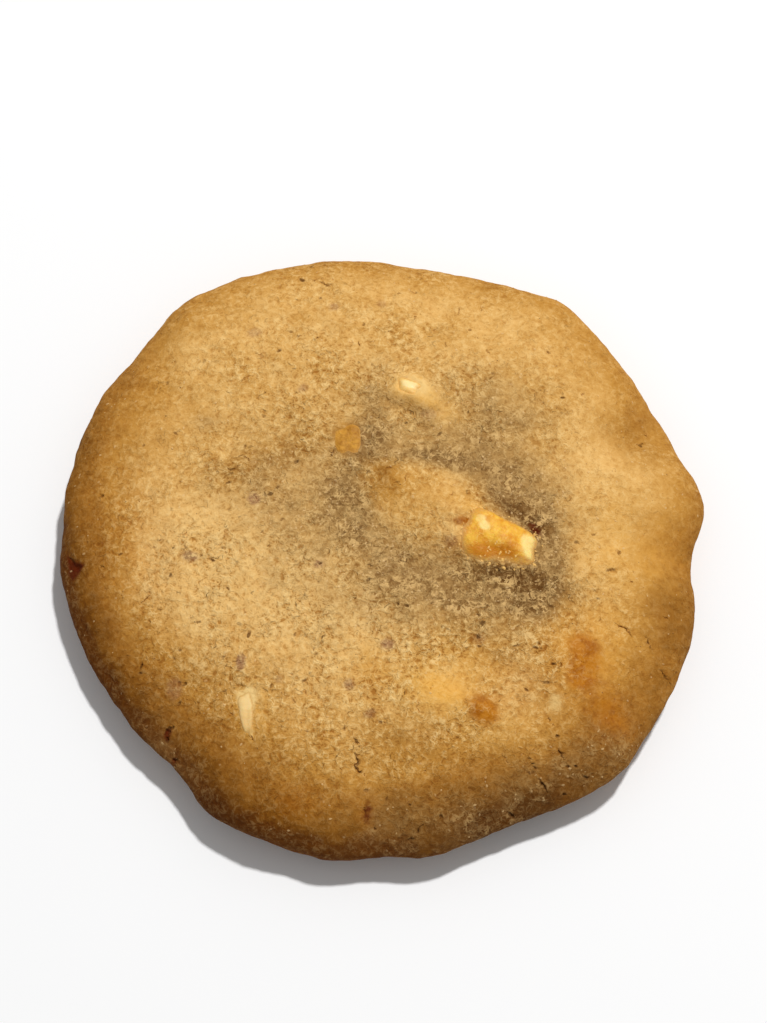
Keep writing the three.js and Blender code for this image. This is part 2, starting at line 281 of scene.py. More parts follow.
@dataclass
class CrustForm:
    """The baked dough's form, from the same named sizes as the part's source."""

    edge_radius: float = 44.9
    plan_centre: tuple[float, float] = (-0.37, -0.21)
    crown_height: float = 14.0
    widest_level: float = 6.0
    foot_inset: float = 4.5
    foot_corner: float = 60.0
    dome_power: float = 3.0
    shoulder_follow: float = 0.5
    shoulder_start: float = 0.5
    waves_from: float = 3.6
    waves_per_kind: int = 3
    wave_kinds: tuple[tuple[float, float], ...] = ((19, 0.26), (12, 0.18), (8, 0.11))
    dome_steps: int = 20000
    corner_steps: int = 2000
    swells: tuple[Swell, ...] = (
        Swell(10, 5, 0.7),
        Swell(27, 8, -1.1),
        Swell(54, 5, 0.65),
        Swell(82, 12, -1.4),
        Swell(132, 22, 1.3),
        Swell(128, 5, 0.55),
        Swell(137, 8, -0.55),
        Swell(224, 20, -2.85),
        Swell(241, 7, 1.2),
        Swell(271, 5, -1.3),
        Swell(293, 8, -2.1),
        Swell(317, 5, 0.75),
        Swell(357, 4.3, -1.45),
    )
    relief: tuple[Oval, ...] = ovals(
        (9.6, 1.5, 12, 9, -15, -2.1), (8.6, 2, 7.5, 3.6, -29, 2.6), (6.2, 18.8, 3.6, 2.2, -37, 0.9),
        (15, 17, 6, 4, -30, -0.5), (-25, -3, 7, 6, 0, 0.5), (-14, 7, 6, 4, 20, -0.6),
        (8, -24, 4, 3, -10, 0.8), (26, -18, 4.5, 3.5, -40, 0.9), (14, -25.5, 2, 1.8, 0, 0.4),
        (20, -25, 4, 2.5, -70, -0.5), (33, -6, 6, 4, 80, 0.6), (35, 14, 5, 3, 30, -0.9),
        (-1, -38, 6, 2.2, 90, -0.6), (-28, -24, 6, 4, 50, -0.5), (-12, 30, 14, 7, 10, 0.5),
        (20, -9, 5, 2.5, -20, -0.5),
    )

    def edge(self, angle: np.ndarray) -> np.ndarray:
        """The edge's radius in millimetres at angles in radians."""
        radius = np.full(np.shape(angle), self.edge_radius)
        for swell in self.swells:
            away = (np.degrees(angle) - swell.at + 180.0) % 360.0 - 180.0
            radius += swell.rise * np.exp(-0.5 * (away / swell.spread) ** 2)
        return radius

    def way_out(self, points: np.ndarray) -> tuple[np.ndarray, np.ndarray]:
        """The share of the way from the middle to the edge, and the angle in degrees."""
        away = points[:, :2] - np.array(self.plan_centre)
        angle = np.arctan2(away[:, 1], away[:, 0])
        share = np.minimum(np.hypot(*away.T) / self.edge(angle), 1.0)
        return np.where(points[:, 2] < self.widest_level, 1.0, share), np.degrees(angle) % 360.0

    def waves(self, points: np.ndarray) -> np.ndarray:
        """The lift in millimetres of the soft waves that cover the crust."""
        golden_angle = math.pi * (3 - math.sqrt(5))
        lift = np.zeros(len(points))
        for kind, (length, height) in enumerate(self.wave_kinds):
            for wave in range(1, self.waves_per_kind + 1):
                heading = golden_angle * (kind * self.waves_per_kind + wave)
                along = points @ np.array([math.cos(heading), math.sin(heading), 1.0])
                lift += height / self.waves_per_kind * np.sin(2 * math.pi * along / length + heading)
        return lift

    def outline(self, facet: float) -> tuple[np.ndarray, np.ndarray, np.ndarray, np.ndarray]:
        """The half outline of an upright cut, from the crown over the widest level to the foot.

        Args:
            facet: The distance between two steps in millimetres.

        Returns:
            For each step its radius, its height and the two parts of its outward way.
        """
        swing = np.linspace(0.0, math.pi / 2, self.dome_steps)
        top_radius = self.edge_radius * np.sin(swing) ** (2 / self.dome_power)
        top_height = self.widest_level + (self.crown_height - self.widest_level) * np.cos(swing)
        corner = math.radians(self.foot_corner)
        tuck = np.linspace(0.0, corner, self.corner_steps)[1:]
        drawn_in = self.foot_inset * (1 - np.cos(tuck)) / (1 - math.cos(corner))
        radius = np.concatenate([top_radius, self.edge_radius - drawn_in])
        height = np.concatenate([top_height, self.widest_level * (1 - np.sin(tuck) / math.sin(corner))])
        gone = np.concatenate([[0.0], np.cumsum(np.hypot(np.diff(radius), np.diff(height)))])
        steps = np.linspace(0.0, gone[-1], round(gone[-1] / facet) + 1)
        radius_at = np.interp(steps, gone, radius)
        height_at = np.interp(steps, gone, height)
        slope = np.arctan2(np.gradient(height_at, steps), np.gradient(radius_at, steps))
        slope[0] = 0.0
        return radius_at, height_at, -np.sin(slope), np.cos(slope)

    def points(
        self, radius: np.ndarray, height: np.ndarray, out: np.ndarray, up: np.ndarray, angle: np.ndarray
    ) -> np.ndarray:
        """Points of the crust above the base.

        Args:
            radius: Radius on the outline for each point.
            height: Height on the outline for each point.
            out: Sideways part of the outward way for each point.
            up: Upward part of the outward way for each point.
            angle: Angle round the middle for each point, in radians.

        Returns:
            Rows of x, y and z in millimetres.
        """
        share = radius / self.edge_radius
        edge = self.edge(angle)
        around = np.stack([np.cos(angle), np.sin(angle)], axis=1)
        flat = np.array(self.plan_centre) + (share * edge)[:, None] * around
        place = np.column_stack([flat, height])
        shoulder = self.shoulder_follow * (edge - self.edge_radius)
        shoulder *= smoothstep(share, self.shoulder_start, 1.0)
        bumps = shoulder + sum(oval.soft(place) for oval in self.relief)
        lift = np.maximum(up, 0.0) * bumps
        lift += smoothstep(height, 0.0, self.waves_from) * self.waves(place)
        place[:, :2] += (lift * out)[:, None] * around
        place[:, 2] += lift * up
        return place


@dataclass
class RingMesh:
    """A mesh that grows ring by ring, in millimetres."""

    points: list[np.ndarray] = field(default_factory=list)
    triangles: list[tuple[int, int, int]] = field(default_factory=list)
    count: int = 0

    def add_ring(self, points: np.ndarray) -> range:
        """Adds points and returns the numbers that they get."""
        first = self.count
        self.points.append(points)
        self.count += len(points)
        return range(first, self.count)

    def zip_rings(self, inner: range, outer: range, facing_down: bool = False) -> None:
        """Joins two closed rings of points by a band of triangles.

        Args:
            inner: The inner ring, which may be a single point.
            outer: The outer ring.
            facing_down: Turns the band's faces over.
        """
        inner_steps = len(inner) if len(inner) > 1 else 0
        i = 0
        j = 0
        while i < inner_steps or j < len(outer):
            a = inner[i % len(inner)]
            b = outer[j % len(outer)]
            inner_is_behind = (i + 0.5) * len(outer) < (j + 0.5) * len(inner)
            if j == len(outer) or (i < inner_steps and inner_is_behind):
                i += 1
                c = inner[i % len(inner)]
            else:
                j += 1
                c = outer[j % len(outer)]
            self.triangles.append((a, c, b) if facing_down else (a, b, c))


def split_long_edges(
    points: np.ndarray, triangles: np.ndarray, wanted: np.ndarray
) -> tuple[np.ndarray, np.ndarray]:
    """Halves each edge that is longer than is wanted at its two ends.

    Args:
        points: Rows of x, y and z in millimetres.
        triangles: Rows of three point numbers.
        wanted: The longest edge wanted at each point, in millimetres.

    Returns:
        The new points and triangles.
    """
    sides = np.sort(triangles[:, [[0, 1], [1, 2], [2, 0]]].reshape(-1, 2), axis=1)
    edges, edge_of_side = np.unique(sides, axis=0, return_inverse=True)
    length = np.linalg.norm(points[edges[:, 0]] - points[edges[:, 1]], axis=1)
    long = length > wanted[edges].max(axis=1)
    middle_of_edge = np.full(len(edges), -1)
    middle_of_edge[long] = len(points) + np.arange(long.sum())
    middles = points[edges[long]].mean(axis=1)
    middle = middle_of_edge[edge_of_side.reshape(-1)].reshape(-1, 3)
    split = (middle >= 0).sum(axis=1)

    def turned(rows: np.ndarray, first: np.ndarray) -> tuple[np.ndarray, np.ndarray]:
        """The corners and middles of triangles, turned so that the given side comes first."""
        order = (first[:, None] + np.arange(3)) % 3
        corners = np.take_along_axis(triangles[rows], order, axis=1)
        return corners.T, np.take_along_axis(middle[rows], order, axis=1).T

    pieces = [triangles[split == 0]]
    one = np.flatnonzero(split == 1)
    (a, b, c), (ab, _, _) = turned(one, np.argmax(middle[one] >= 0, axis=1))
    pieces += [np.stack(t, axis=1) for t in ((a, ab, c), (ab, b, c))]
    two = np.flatnonzero(split == 2)
    (a, b, c), (ab, bc, _) = turned(two, (np.argmin(middle[two] >= 0, axis=1) + 1) % 3)
    pieces += [np.stack(t, axis=1) for t in ((ab, b, bc), (a, ab, bc), (a, bc, c))]
    three = np.flatnonzero(split == 3)
    (a, b, c), (ab, bc, ca) = turned(three, np.zeros(len(three), int))
    pieces += [np.stack(t, axis=1) for t in ((a, ab, ca), (ab, b, bc), (ca, bc, c), (ab, bc, ca))]
    return np.concatenate([points, middles]), np.concatenate(pieces)


def point_normals(points: np.ndarray, triangles: np.ndarray) -> np.ndarray:
    """The outward way at each point of a mesh.

    Args:
        points: Rows of x, y and z.
        triangles: Rows of three point numbers.

    Returns:
        One unit vector for each point.
    """
    a, b, c = (points[triangles[:, k]] for k in range(3))
    facing = np.cross(b - a, c - a)
    normals = np.zeros_like(points)
    for k in range(3):
        np.add.at(normals, triangles[:, k], facing)
    return normals / np.maximum(np.linalg.norm(normals, axis=1), 1e-12)[:, None]


def new_piece(name: str, points: np.ndarray, triangles: np.ndarray) -> bpy.types.Object:
    """Makes an object at the origin from points in millimetres.

    Args:
        name: The piece's name.
        points: Rows of x, y and z in millimetres.
        triangles: Rows of three point numbers.

    Returns:
        The new object, linked to the scene.
    """
    mesh = bpy.data.meshes.new(name)
    mesh.from_pydata((points * METRES).tolist(), [], triangles.tolist())
    mesh.update()
    mesh.shade_smooth()
    piece = bpy.data.objects.new(name, mesh)
    bpy.context.scene.collection.objects.link(piece)
    return piece


def points_of(mesh: bpy.types.Mesh) -> np.ndarray:
    """The points of a mesh as rows of x, y and z in millimetres."""
    flat = np.empty(len(mesh.vertices) * 3)
    mesh.vertices.foreach_get("co", flat)
    return flat.reshape(-1, 3) / METRES


def keep_values(mesh: bpy.types.Mesh, name: str, values: np.ndarray) -> None:
    """Stores one number for each point of a mesh under a name."""
    layer = mesh.attributes.new(name, "FLOAT", "POINT")
    layer.data.foreach_set("value", np.ascontiguousarray(values, dtype=np.float32))


def evaluated_mesh(piece: bpy.types.Object) -> bpy.types.Mesh:
    """A new plain mesh of an object with its modifiers applied."""
    graph = bpy.context.evaluated_depsgraph_get()
    return bpy.data.meshes.new_from_object(piece.evaluated_get(graph), depsgraph=graph)


# ---- Nodes ----


class Graph:
    """A node tree with short calls that add a node and link its inputs."""

    def __init__(self, tree: bpy.types.NodeTree) -> None:
        """Keeps the tree that the nodes are added to."""
        self.tree = tree

    def add(self, kind: str, inputs: dict | None = None, **settings: object) -> bpy.types.Node:
        """Adds a node.

        Args:
            kind: The node's type name.
            inputs: Values or sockets, by the name or number of the input.
            settings: Properties of the node.

        Returns:
            The new node.
        """
        node = self.tree.nodes.new(kind)
        for name, value in settings.items():
            setattr(node, name, value)
        self.feed(node, inputs or {})
        return node

    def feed(self, node: bpy.types.Node, inputs: dict) -> None:
        """Links a node's inputs to sockets, or sets them to values.

        Args:
            node: The node.
            inputs: Values or sockets, by the name or number of the input.
        """
        for key, value in inputs.items():
            if isinstance(value, bpy.types.NodeSocket):
                self.tree.links.new(value, node.inputs[key])
            else:
                node.inputs[key].default_value = value

    def calc(
        self, operation: str, a: object, b: object = 0.0, c: object = 0.0, clamp: bool = False
    ) -> bpy.types.NodeSocket:
        """The result of a Math node on values or sockets, held between 0 and 1 by clamp."""
        inputs = {0: a, 1: b, 2: c}
        return self.add("ShaderNodeMath", inputs, operation=operation, use_clamp=clamp).outputs[0]

    def chain(self, operation: str, *terms: object) -> bpy.types.NodeSocket:
        """Joins values or sockets one after the other by a Math operation."""
        total = terms[0]
        for term in terms[1:]:
            total = self.calc(operation, total, term)
        return total

    def sum(self, *terms: object) -> bpy.types.NodeSocket:
        """The sum of values or sockets."""
        return self.chain("ADD", *terms)

    def product(self, *terms: object) -> bpy.types.NodeSocket:
        """The product of values or sockets."""
        return self.chain("MULTIPLY", *terms)

    def remap(
        self, value: object, start: float, end: float, low: float = 0.0, high: float = 1.0
    ) -> bpy.types.NodeSocket:
        """Maps a value smoothly from start..end to low..high, and holds it beyond them."""
        inputs = {0: value, 1: start, 2: end, 3: low, 4: high}
        return self.add("ShaderNodeMapRange", inputs, interpolation_type="SMOOTHSTEP").outputs[0]

    def mix(self, share: object, a: object, b: object, blend: str = "MIX") -> bpy.types.NodeSocket:
        """Mixes two colours by a share from 0 to 1."""
        inputs = {0: share, 6: a, 7: b}
        return self.add("ShaderNodeMix", inputs, data_type="RGBA", blend_type=blend).outputs[2]

    def ramp(
        self, value: object, stops: tuple[tuple[float, Colour], ...]
    ) -> bpy.types.NodeSocket:
        """A colour that runs through stops as a value rises.

        Args:
            value: The value, from 0 to 1.
            stops: Places from 0 to 1, each with its colour.

        Returns:
            The colour.
        """
        node = self.add("ShaderNodeValToRGB", {0: value})
        elements = node.color_ramp.elements
        for place, colour in stops[1:-1]:
            elements.new(place).color = colour
        for element, (place, colour) in ((elements[0], stops[0]), (elements[-1], stops[-1])):
            element.position = place
            element.color = colour
        return node.outputs[0]

    def noise(
        self, place: object, length: object, detail: float = 2.0, roughness: float = 0.5
    ) -> bpy.types.Node:
        """Noise whose bumps lie about a length in millimetres apart."""
        linked = isinstance(length, bpy.types.NodeSocket)
        scale = self.calc("DIVIDE", 1.0, length) if linked else 1 / length
        inputs = {"Vector": place, "Scale": scale, "Detail": detail, "Roughness": roughness}
        return self.add("ShaderNodeTexNoise", inputs)

    def warp(self, place: object, length: float, strength: float) -> bpy.types.NodeSocket:
        """Moves a place about by noise, by up to about a strength in millimetres."""
        colour = self.noise(place, length, 1.0).outputs["Color"]
        inputs = {0: colour, 1: (0.5, 0.5, 0.5)}
        centred = self.add("ShaderNodeVectorMath", inputs, operation="SUBTRACT").outputs[0]
        inputs = {0: centred, 1: (2 * strength,) * 3, 2: place}
        return self.add("ShaderNodeVectorMath", inputs, operation="MULTIPLY_ADD").outputs[0]

    def value_of(self, name: str) -> bpy.types.NodeSocket:
        """The number that the mesh keeps under a name."""
        return self.add("ShaderNodeAttribute", attribute_name=name).outputs["Fac"]

    def millimetres(self) -> bpy.types.NodeSocket:
        """The place on the object in millimetres."""
        place = self.add("ShaderNodeTexCoord").outputs["Object"]
        inputs = {0: place, "Scale": 1 / METRES}
        return self.add("ShaderNodeVectorMath", inputs, operation="SCALE").outputs[0]

    def bump(self, height: bpy.types.NodeSocket, depth: float) -> bpy.types.NodeSocket:
        """The normals that a height gives, where a rise of 1 stands for a depth in millimetres."""
        inputs = {"Height": height, "Distance": depth * METRES, "Strength": 1.0}
        return self.add("ShaderNodeBump", inputs).outputs[0]

    def group(self, tree: bpy.types.NodeTree, inputs: dict | None = None) -> bpy.types.Node:
        """Places a node group."""
        return self.add("ShaderNodeGroup", inputs, node_tree=tree)


@dataclass(frozen=True)
class SocketPlan:
    """A named input or output of a node group, with its starting value."""

    name: str
    kind: str
    start: object = None


def new_group(
    name: str, kind: str, inputs: tuple[SocketPlan, ...], outputs: tuple[SocketPlan, ...]
) -> tuple[bpy.types.NodeTree, Graph, bpy.types.Node, bpy.types.Node]:
    """Makes an empty node group with named sockets.

    Args:
        name: The group's name.
        kind: The tree's type name.
        inputs: The inputs in order.
        outputs: The outputs in order.

    Returns:
        The tree, its graph, its input node and its output node.
    """
    tree = bpy.data.node_groups.new(name, kind)
    for way, plans in (("INPUT", inputs), ("OUTPUT", outputs)):
        for plan in plans:
            socket = tree.interface.new_socket(plan.name, in_out=way, socket_type=plan.kind)
            if plan.start is not None:
                socket.default_value = plan.start
    graph = Graph(tree)
    return tree, graph, graph.add("NodeGroupInput"), graph.add("NodeGroupOutput")


BIT_TONE = "tone"
FLOAT = "NodeSocketFloat"
VECTOR = "NodeSocketVector"
COLOUR = "NodeSocketColor"


@cache
def curled_group() -> bpy.types.NodeTree:
    """Builds the fine curled relief of a baked crust, as a tone around 0, light ridges and a height."""
    tree, graph, start, end = new_group(
        "curled_crust",
        "ShaderNodeTree",
        (SocketPlan("Place", VECTOR), SocketPlan("Length", FLOAT, 0.85)),
        (SocketPlan("Tone", FLOAT), SocketPlan("Ridge", FLOAT), SocketPlan("Height", FLOAT)),
    )
    stroke_length = 0.55
    stroke_width = 0.15
    stroke_tone = 0.13
    stroke_height = 0.05
    ridge_width = 0.035
    ridge_height = 0.08
    ridge_cluster = 2.1
    place = graph.warp(start.outputs["Place"], 1.2, 0.45)
    fold = graph.noise(place, start.outputs["Length"], 4.0, 0.62).outputs[0]
    tone = graph.calc("SUBTRACT", fold, 0.5)
    stroke = graph.noise(place, stroke_length, 1.5).outputs[0]
    stroke = graph.calc("ABSOLUTE", graph.calc("SUBTRACT", stroke, 0.5))
    stroke = graph.remap(stroke, stroke_width, 0.0, -0.5, 0.5)
    cluster = graph.remap(graph.noise(start.outputs["Place"], ridge_cluster, 1.0).outputs[0], 0.42, 0.6)
    ridge = graph.product(graph.remap(graph.calc("ABSOLUTE", tone), ridge_width, 0.0), cluster)
    outputs = {
        "Tone": graph.sum(tone, graph.product(stroke, stroke_tone)),
        "Ridge": ridge,
        "Height": graph.sum(tone, graph.product(ridge, ridge_height), graph.product(stroke, stroke_height)),
    }
    graph.feed(end, outputs)
    return tree


@cache
def hairline_group() -> bpy.types.NodeTree:
    """Builds short broken hairline cracks: how dark each place is."""
    tree, graph, start, end = new_group(
        "hairline_cracks",
        "ShaderNodeTree",
        (SocketPlan("Place", VECTOR), SocketPlan("Length", FLOAT, 1.4), SocketPlan("Amount", FLOAT, 0.5)),
        (SocketPlan("Line", FLOAT),),
    )
    line_width = 0.03
    line_core = 0.004
    gap_length = 1.3
    gap_edge = 7.0
    place = graph.warp(start.outputs["Place"], 0.8, 0.35)
    fold = graph.noise(place, start.outputs["Length"], 1.5).outputs[0]
    away = graph.calc("ABSOLUTE", graph.calc("SUBTRACT", fold, 0.5))
    line = graph.remap(away, line_width, line_core)
    level = graph.calc("MULTIPLY_ADD", start.outputs["Amount"], -0.3, 0.72)
    here = graph.calc("SUBTRACT", graph.noise(start.outputs["Place"], gap_length, 1.0).outputs[0], level)
    here = graph.calc("MULTIPLY", here, gap_edge, clamp=True)
    graph.feed(end, {"Line": graph.product(line, here)})
    return tree


@cache
def mottle_group() -> bpy.types.NodeTree:
    """Builds the slow unevenness of a baked surface, as a tone around 0."""
    tree, graph, start, end = new_group(
        "bake_mottle",
        "ShaderNodeTree",
        (SocketPlan("Place", VECTOR), SocketPlan("Length", FLOAT, 5.0)),
        (SocketPlan("Tone", FLOAT),),
    )
    small_share = 0.8
    inputs = {0: start.outputs["Place"], "Scale": graph.calc("DIVIDE", 1.0, start.outputs["Length"])}
    place = graph.add("ShaderNodeVectorMath", inputs, operation="SCALE").outputs[0]
    broad = graph.noise(place, 1.3).outputs[0]
    small = graph.noise(place, 0.37).outputs[0]
    middle = -0.5 * (1 + small_share)
    graph.feed(end, {"Tone": graph.sum(broad, graph.product(small, small_share), middle)})
    return tree


@cache
def ragged_group() -> bpy.types.NodeTree:
    """Builds a ragged edge: a soft mask comes out with an uneven, firmer outline."""
    tree, graph, start, end = new_group(
        "ragged_edge",
        "ShaderNodeTree",
        (
            SocketPlan("Mask", FLOAT),
            SocketPlan("Place", VECTOR),
            SocketPlan("Length", FLOAT, 0.8),
            SocketPlan("Raggedness", FLOAT, 0.5),
        ),
        (SocketPlan("Mask", FLOAT),),
    )
    empty_until = 0.25
    mask = start.outputs["Mask"]
    rough = graph.noise(start.outputs["Place"], start.outputs["Length"], 3.0).outputs[0]
    push = graph.product(graph.calc("SUBTRACT", rough, 0.5), start.outputs["Raggedness"], 2.0)
    push = graph.product(push, graph.remap(mask, 0.0, empty_until))
    graph.feed(end, {"Mask": graph.calc("ADD", mask, push, clamp=True)})
    return tree


@dataclass(frozen=True)
class CrustColours:
    """The colours of the crust as they look in full light, and how they lie over each other.

    An outline is a mark, the length in millimetres of the raggedness of its edge, and how
    ragged it is. A cover is how much of what lies below a mark hides.
    """

    bake: tuple[tuple[float, Rgb], ...] = (
        (0.0, (238, 190, 116)),
        (0.22, (211, 159, 84)),
        (0.42, (193, 138, 61)),
        (0.62, (167, 112, 42)),
        (0.82, (133, 84, 22)),
        (1.0, (100, 55, 10)),
    )
    # The ridge colour lightens the curls' high places and the valley shade darkens their hollows: partly the
    # dough's own tone, partly painted light and painted shade.
    ridge: Rgb = (246, 208, 140)
    valley_shade: Rgb = (206, 182, 146)
    dusk: Rgb = (154, 117, 68)
    crumb: Rgb = (216, 176, 114)
    # Painted shade: the colour multiplied in where the crust is darkened as if shaded, also between the
    # crumbs.
    shade_tint: Rgb = (186, 170, 148)
    amber: Rgb = (190, 118, 20)
    deep_amber: Rgb = (166, 94, 2)
    cream: Rgb = (240, 202, 132)
    toffee: Rgb = (188, 130, 44)
    wax: Rgb = (236, 176, 80)
    mauve: Rgb = (158, 112, 78)
    burnt: Rgb = (90, 30, 4)
    crack: Rgb = (88, 52, 18)
    outlines: tuple[tuple[Mark, float, float], ...] = (
        (Mark.AMBER, 1.3, 0.32),
        (Mark.WAX, 1.5, 0.4),
        (Mark.TOFFEE, 0.7, 0.5),
        (Mark.CREAM, 0.5, 0.4),
        (Mark.DUSK, 3.0, 0.45),
        (Mark.MAUVE, 0.6, 0.35),
        (Mark.BURNT, 0.5, 0.7),
        (Mark.CRACK, 0.22, 0.55),
        (Mark.PAINTED_SHADE, 2.2, 0.3),
    )
    melted: tuple[Mark, ...] = (Mark.AMBER, Mark.WAX, Mark.TOFFEE, Mark.CREAM)
    melted_curl: float = 0.45
    coarse_length: float = 7.0
    coarse_curl: tuple[float, float] = (0.75, 1.15)
    stain_cover: float = 0.95
    mauve_cover: float = 0.9
    crack_cover: float = 0.8
    line_cover: float = 0.6
    burnt_cover: float = 0.97
    slow_length: float = 5.0
    slow_tone: float = 0.26
    quick_length: float = 2.2
    quick_tone: float = 0.2
    curl_length: float = 0.85
    curl_light: float = 0.66
    ridge_light: float = 0.3
    crumb_length: float = 1.1
    crumb_dark: float = 0.45
    crumb_height: float = 0.5
    clump_length: float = 3.2
    line_length: float = 1.9
    line_amount: float = 0.42
    line_depth: float = 0.15

    def group(self) -> bpy.types.NodeTree:
        """Builds the crust's colour, smoothness and height from its kept marks.

        Returns:
            A group with the outputs Colour, Smooth and Height.
        """
        outputs = (SocketPlan("Colour", COLOUR), SocketPlan("Smooth", FLOAT), SocketPlan("Height", FLOAT))
        tree, graph, _, end = new_group("crust_colour", "ShaderNodeTree", (), outputs)
        place = graph.millimetres()
        masks = {}
        for kind, length, raggedness in self.outlines:
            inputs = {"Mask": graph.value_of(kind.value), "Place": place}
            inputs |= {"Length": length, "Raggedness": raggedness}
            masks[kind] = graph.group(ragged_group(), inputs).outputs["Mask"]
        slow, quick = (
            graph.group(mottle_group(), {"Place": place, "Length": length}).outputs["Tone"]
            for length in (self.slow_length, self.quick_length)
        )
        smooth = graph.chain("MAXIMUM", *(masks[kind] for kind in self.melted))
        coarse = graph.noise(place, self.coarse_length, 1.0).outputs[0]
        coarse = graph.remap(coarse, 0.38, 0.62, *self.coarse_curl)
        bare = graph.remap(smooth, 0.1, 0.9, 1.0, self.melted_curl)
        rough = graph.product(bare, coarse, graph.value_of(Mark.ROUGH.value))
        browning_and_shade = graph.value_of(Mark.BROWNING_AND_SHADE.value)
        uneven = graph.sum(graph.product(slow, self.slow_tone), graph.product(quick, bare, self.quick_tone))
        bake = graph.sum(browning_and_shade, uneven)

        colour = self.stained(graph, bake, quick, masks)
        colour, height = self.curled(graph, place, colour, bake, rough, masks[Mark.DUSK])
        colour = graph.mix(masks[Mark.CREAM], colour, screen_colour(self.cream))
        crack = graph.product(masks[Mark.CRACK], self.crack_cover)
        colour = graph.mix(crack, colour, screen_colour(self.crack))
        burnt = graph.product(masks[Mark.BURNT], self.burnt_cover)
        colour = graph.mix(burnt, colour, screen_colour(self.burnt))
        graph.feed(end, {"Colour": colour, "Smooth": smooth, "Height": height})
        return tree

    def stained(
        self,
        graph: Graph,
        bake: bpy.types.NodeSocket,
        quick: bpy.types.NodeSocket,
        masks: dict[Mark, bpy.types.NodeSocket],
    ) -> bpy.types.NodeSocket:
        """The crust's colour by how far it has baked, with the stains, the bloom and the painted shade over
        it.

        Args:
            graph: The graph of the crust's colour group.
            bake: How far each place has baked, with the rim's painted shade in it.
            quick: The small mottle, which deepens the amber here and there.
            masks: How strong each mark is.

        Returns:
            The colour.
        """
        colour = graph.ramp(bake, tuple((share, screen_colour(rgb)) for share, rgb in self.bake))
        depth = graph.remap(quick, -0.12, 0.12)
        melt = graph.mix(depth, screen_colour(self.amber), screen_colour(self.deep_amber))
        layers = (
            (Mark.WAX, self.stain_cover, screen_colour(self.wax)),
            (Mark.AMBER, 1.0, melt),
            (Mark.TOFFEE, 1.0, screen_colour(self.toffee)),
            (Mark.DUSK, self.stain_cover, screen_colour(self.dusk)),
            (Mark.MAUVE, self.mauve_cover, screen_colour(self.mauve)),
        )
        for kind, cover, tint in layers:
            colour = graph.mix(graph.product(masks[kind], cover), colour, tint)
        # Painted shade, multiplied over the colour.
        return graph.mix(masks[Mark.PAINTED_SHADE], colour, screen_colour(self.shade_tint), "MULTIPLY")

    def curled(
        self,
        graph: Graph,
        place: bpy.types.NodeSocket,
        colour: bpy.types.NodeSocket,
        bake: bpy.types.NodeSocket,
        rough: bpy.types.NodeSocket,
        dusk: bpy.types.NodeSocket,
    ) -> tuple[bpy.types.NodeSocket, bpy.types.NodeSocket]:
        """Lays the fine curls, the crumbs of the bloom and the hairline cracks over a colour, with painted
        light and shade on the curls and painted shade between the crumbs.

        Args:
            graph: The graph of the crust's colour group.
            place: The place on the crust in millimetres.
            colour: The colour below.
            bake: How far each place has baked, with the rim's painted shade in it.
            rough: How strongly each place has curled.
            dusk: How strong the grey bloom is.

        Returns:
            The colour and the height.
        """
        curls = graph.group(curled_group(), {"Place": place, "Length": self.curl_length}).outputs
        crumbs = graph.group(curled_group(), {"Place": place, "Length": self.crumb_length}).outputs
        inputs = {"Place": place, "Length": self.line_length, "Amount": self.line_amount}
        lines = graph.product(graph.group(hairline_group(), inputs).outputs["Line"], rough)

        # Paler on the curls' high places and darker in their hollows: partly the dough's own tone, partly
        # painted light and painted shade of the fine relief.
        room = graph.remap(bake, 0.25, 0.7, 1.0, 0.25)
        light = graph.product(graph.remap(curls["Tone"], 0.0, 0.2), rough, room, self.curl_light)
        calm = graph.remap(dusk, 0.0, 1.0, 0.95, 0.5)
        dark = graph.product(graph.remap(curls["Tone"], 0.0, -0.22), rough, calm)
        pale = graph.mix(dusk, screen_colour(self.ridge), screen_colour(self.crumb))
        colour = graph.mix(light, colour, pale)
        colour = graph.mix(dark, colour, screen_colour(self.valley_shade), "MULTIPLY")
        light = graph.product(curls["Ridge"], rough, room, self.ridge_light)
        colour = graph.mix(light, colour, screen_colour(self.ridge))

        clump = graph.remap(graph.noise(place, self.clump_length).outputs[0], 0.36, 0.64, 0.1, 1.0)
        light = graph.product(graph.remap(crumbs["Tone"], 0.0, 0.15), dusk, clump)
        # Painted shade in the hollows between the crumbs of the bloom.
        dark = graph.product(graph.remap(crumbs["Tone"], -0.02, -0.2), dusk, self.crumb_dark)
        colour = graph.mix(light, colour, screen_colour(self.crumb))
        colour = graph.mix(dark, colour, screen_colour(self.shade_tint), "MULTIPLY")
        colour = graph.mix(graph.product(lines, self.line_cover), colour, screen_colour(self.crack))
        height = graph.sum(
            graph.product(curls["Height"], rough),
            graph.product(crumbs["Height"], dusk, self.crumb_height),
            graph.product(lines, -self.line_depth),
        )
        return colour, height


@dataclass(frozen=True)
class DoughFinish:
    """The matte, finely curled crust of baked dough."""

    relief: float = 0.45
    matte: float = 0.9
    waxy: float = 0.5
    gleam: float = 0.08

    def material(self, colour_group: bpy.types.NodeTree) -> bpy.types.Material:
        """Builds the material of the crust.

        Args:
            colour_group: The crust's colour group.

        Returns:
            The material.
        """
        material, graph, shader = new_material("baked_dough_crust")
        crust = graph.group(colour_group).outputs
        inputs = {
            "Base Color": crust["Colour"],
            "Roughness": graph.remap(crust["Smooth"], 0.0, 1.0, self.matte, self.waxy),
            "Normal": graph.bump(crust["Height"], self.relief),
            "Specular IOR Level": self.gleam,
        }
        graph.feed(shader, inputs)
        return material


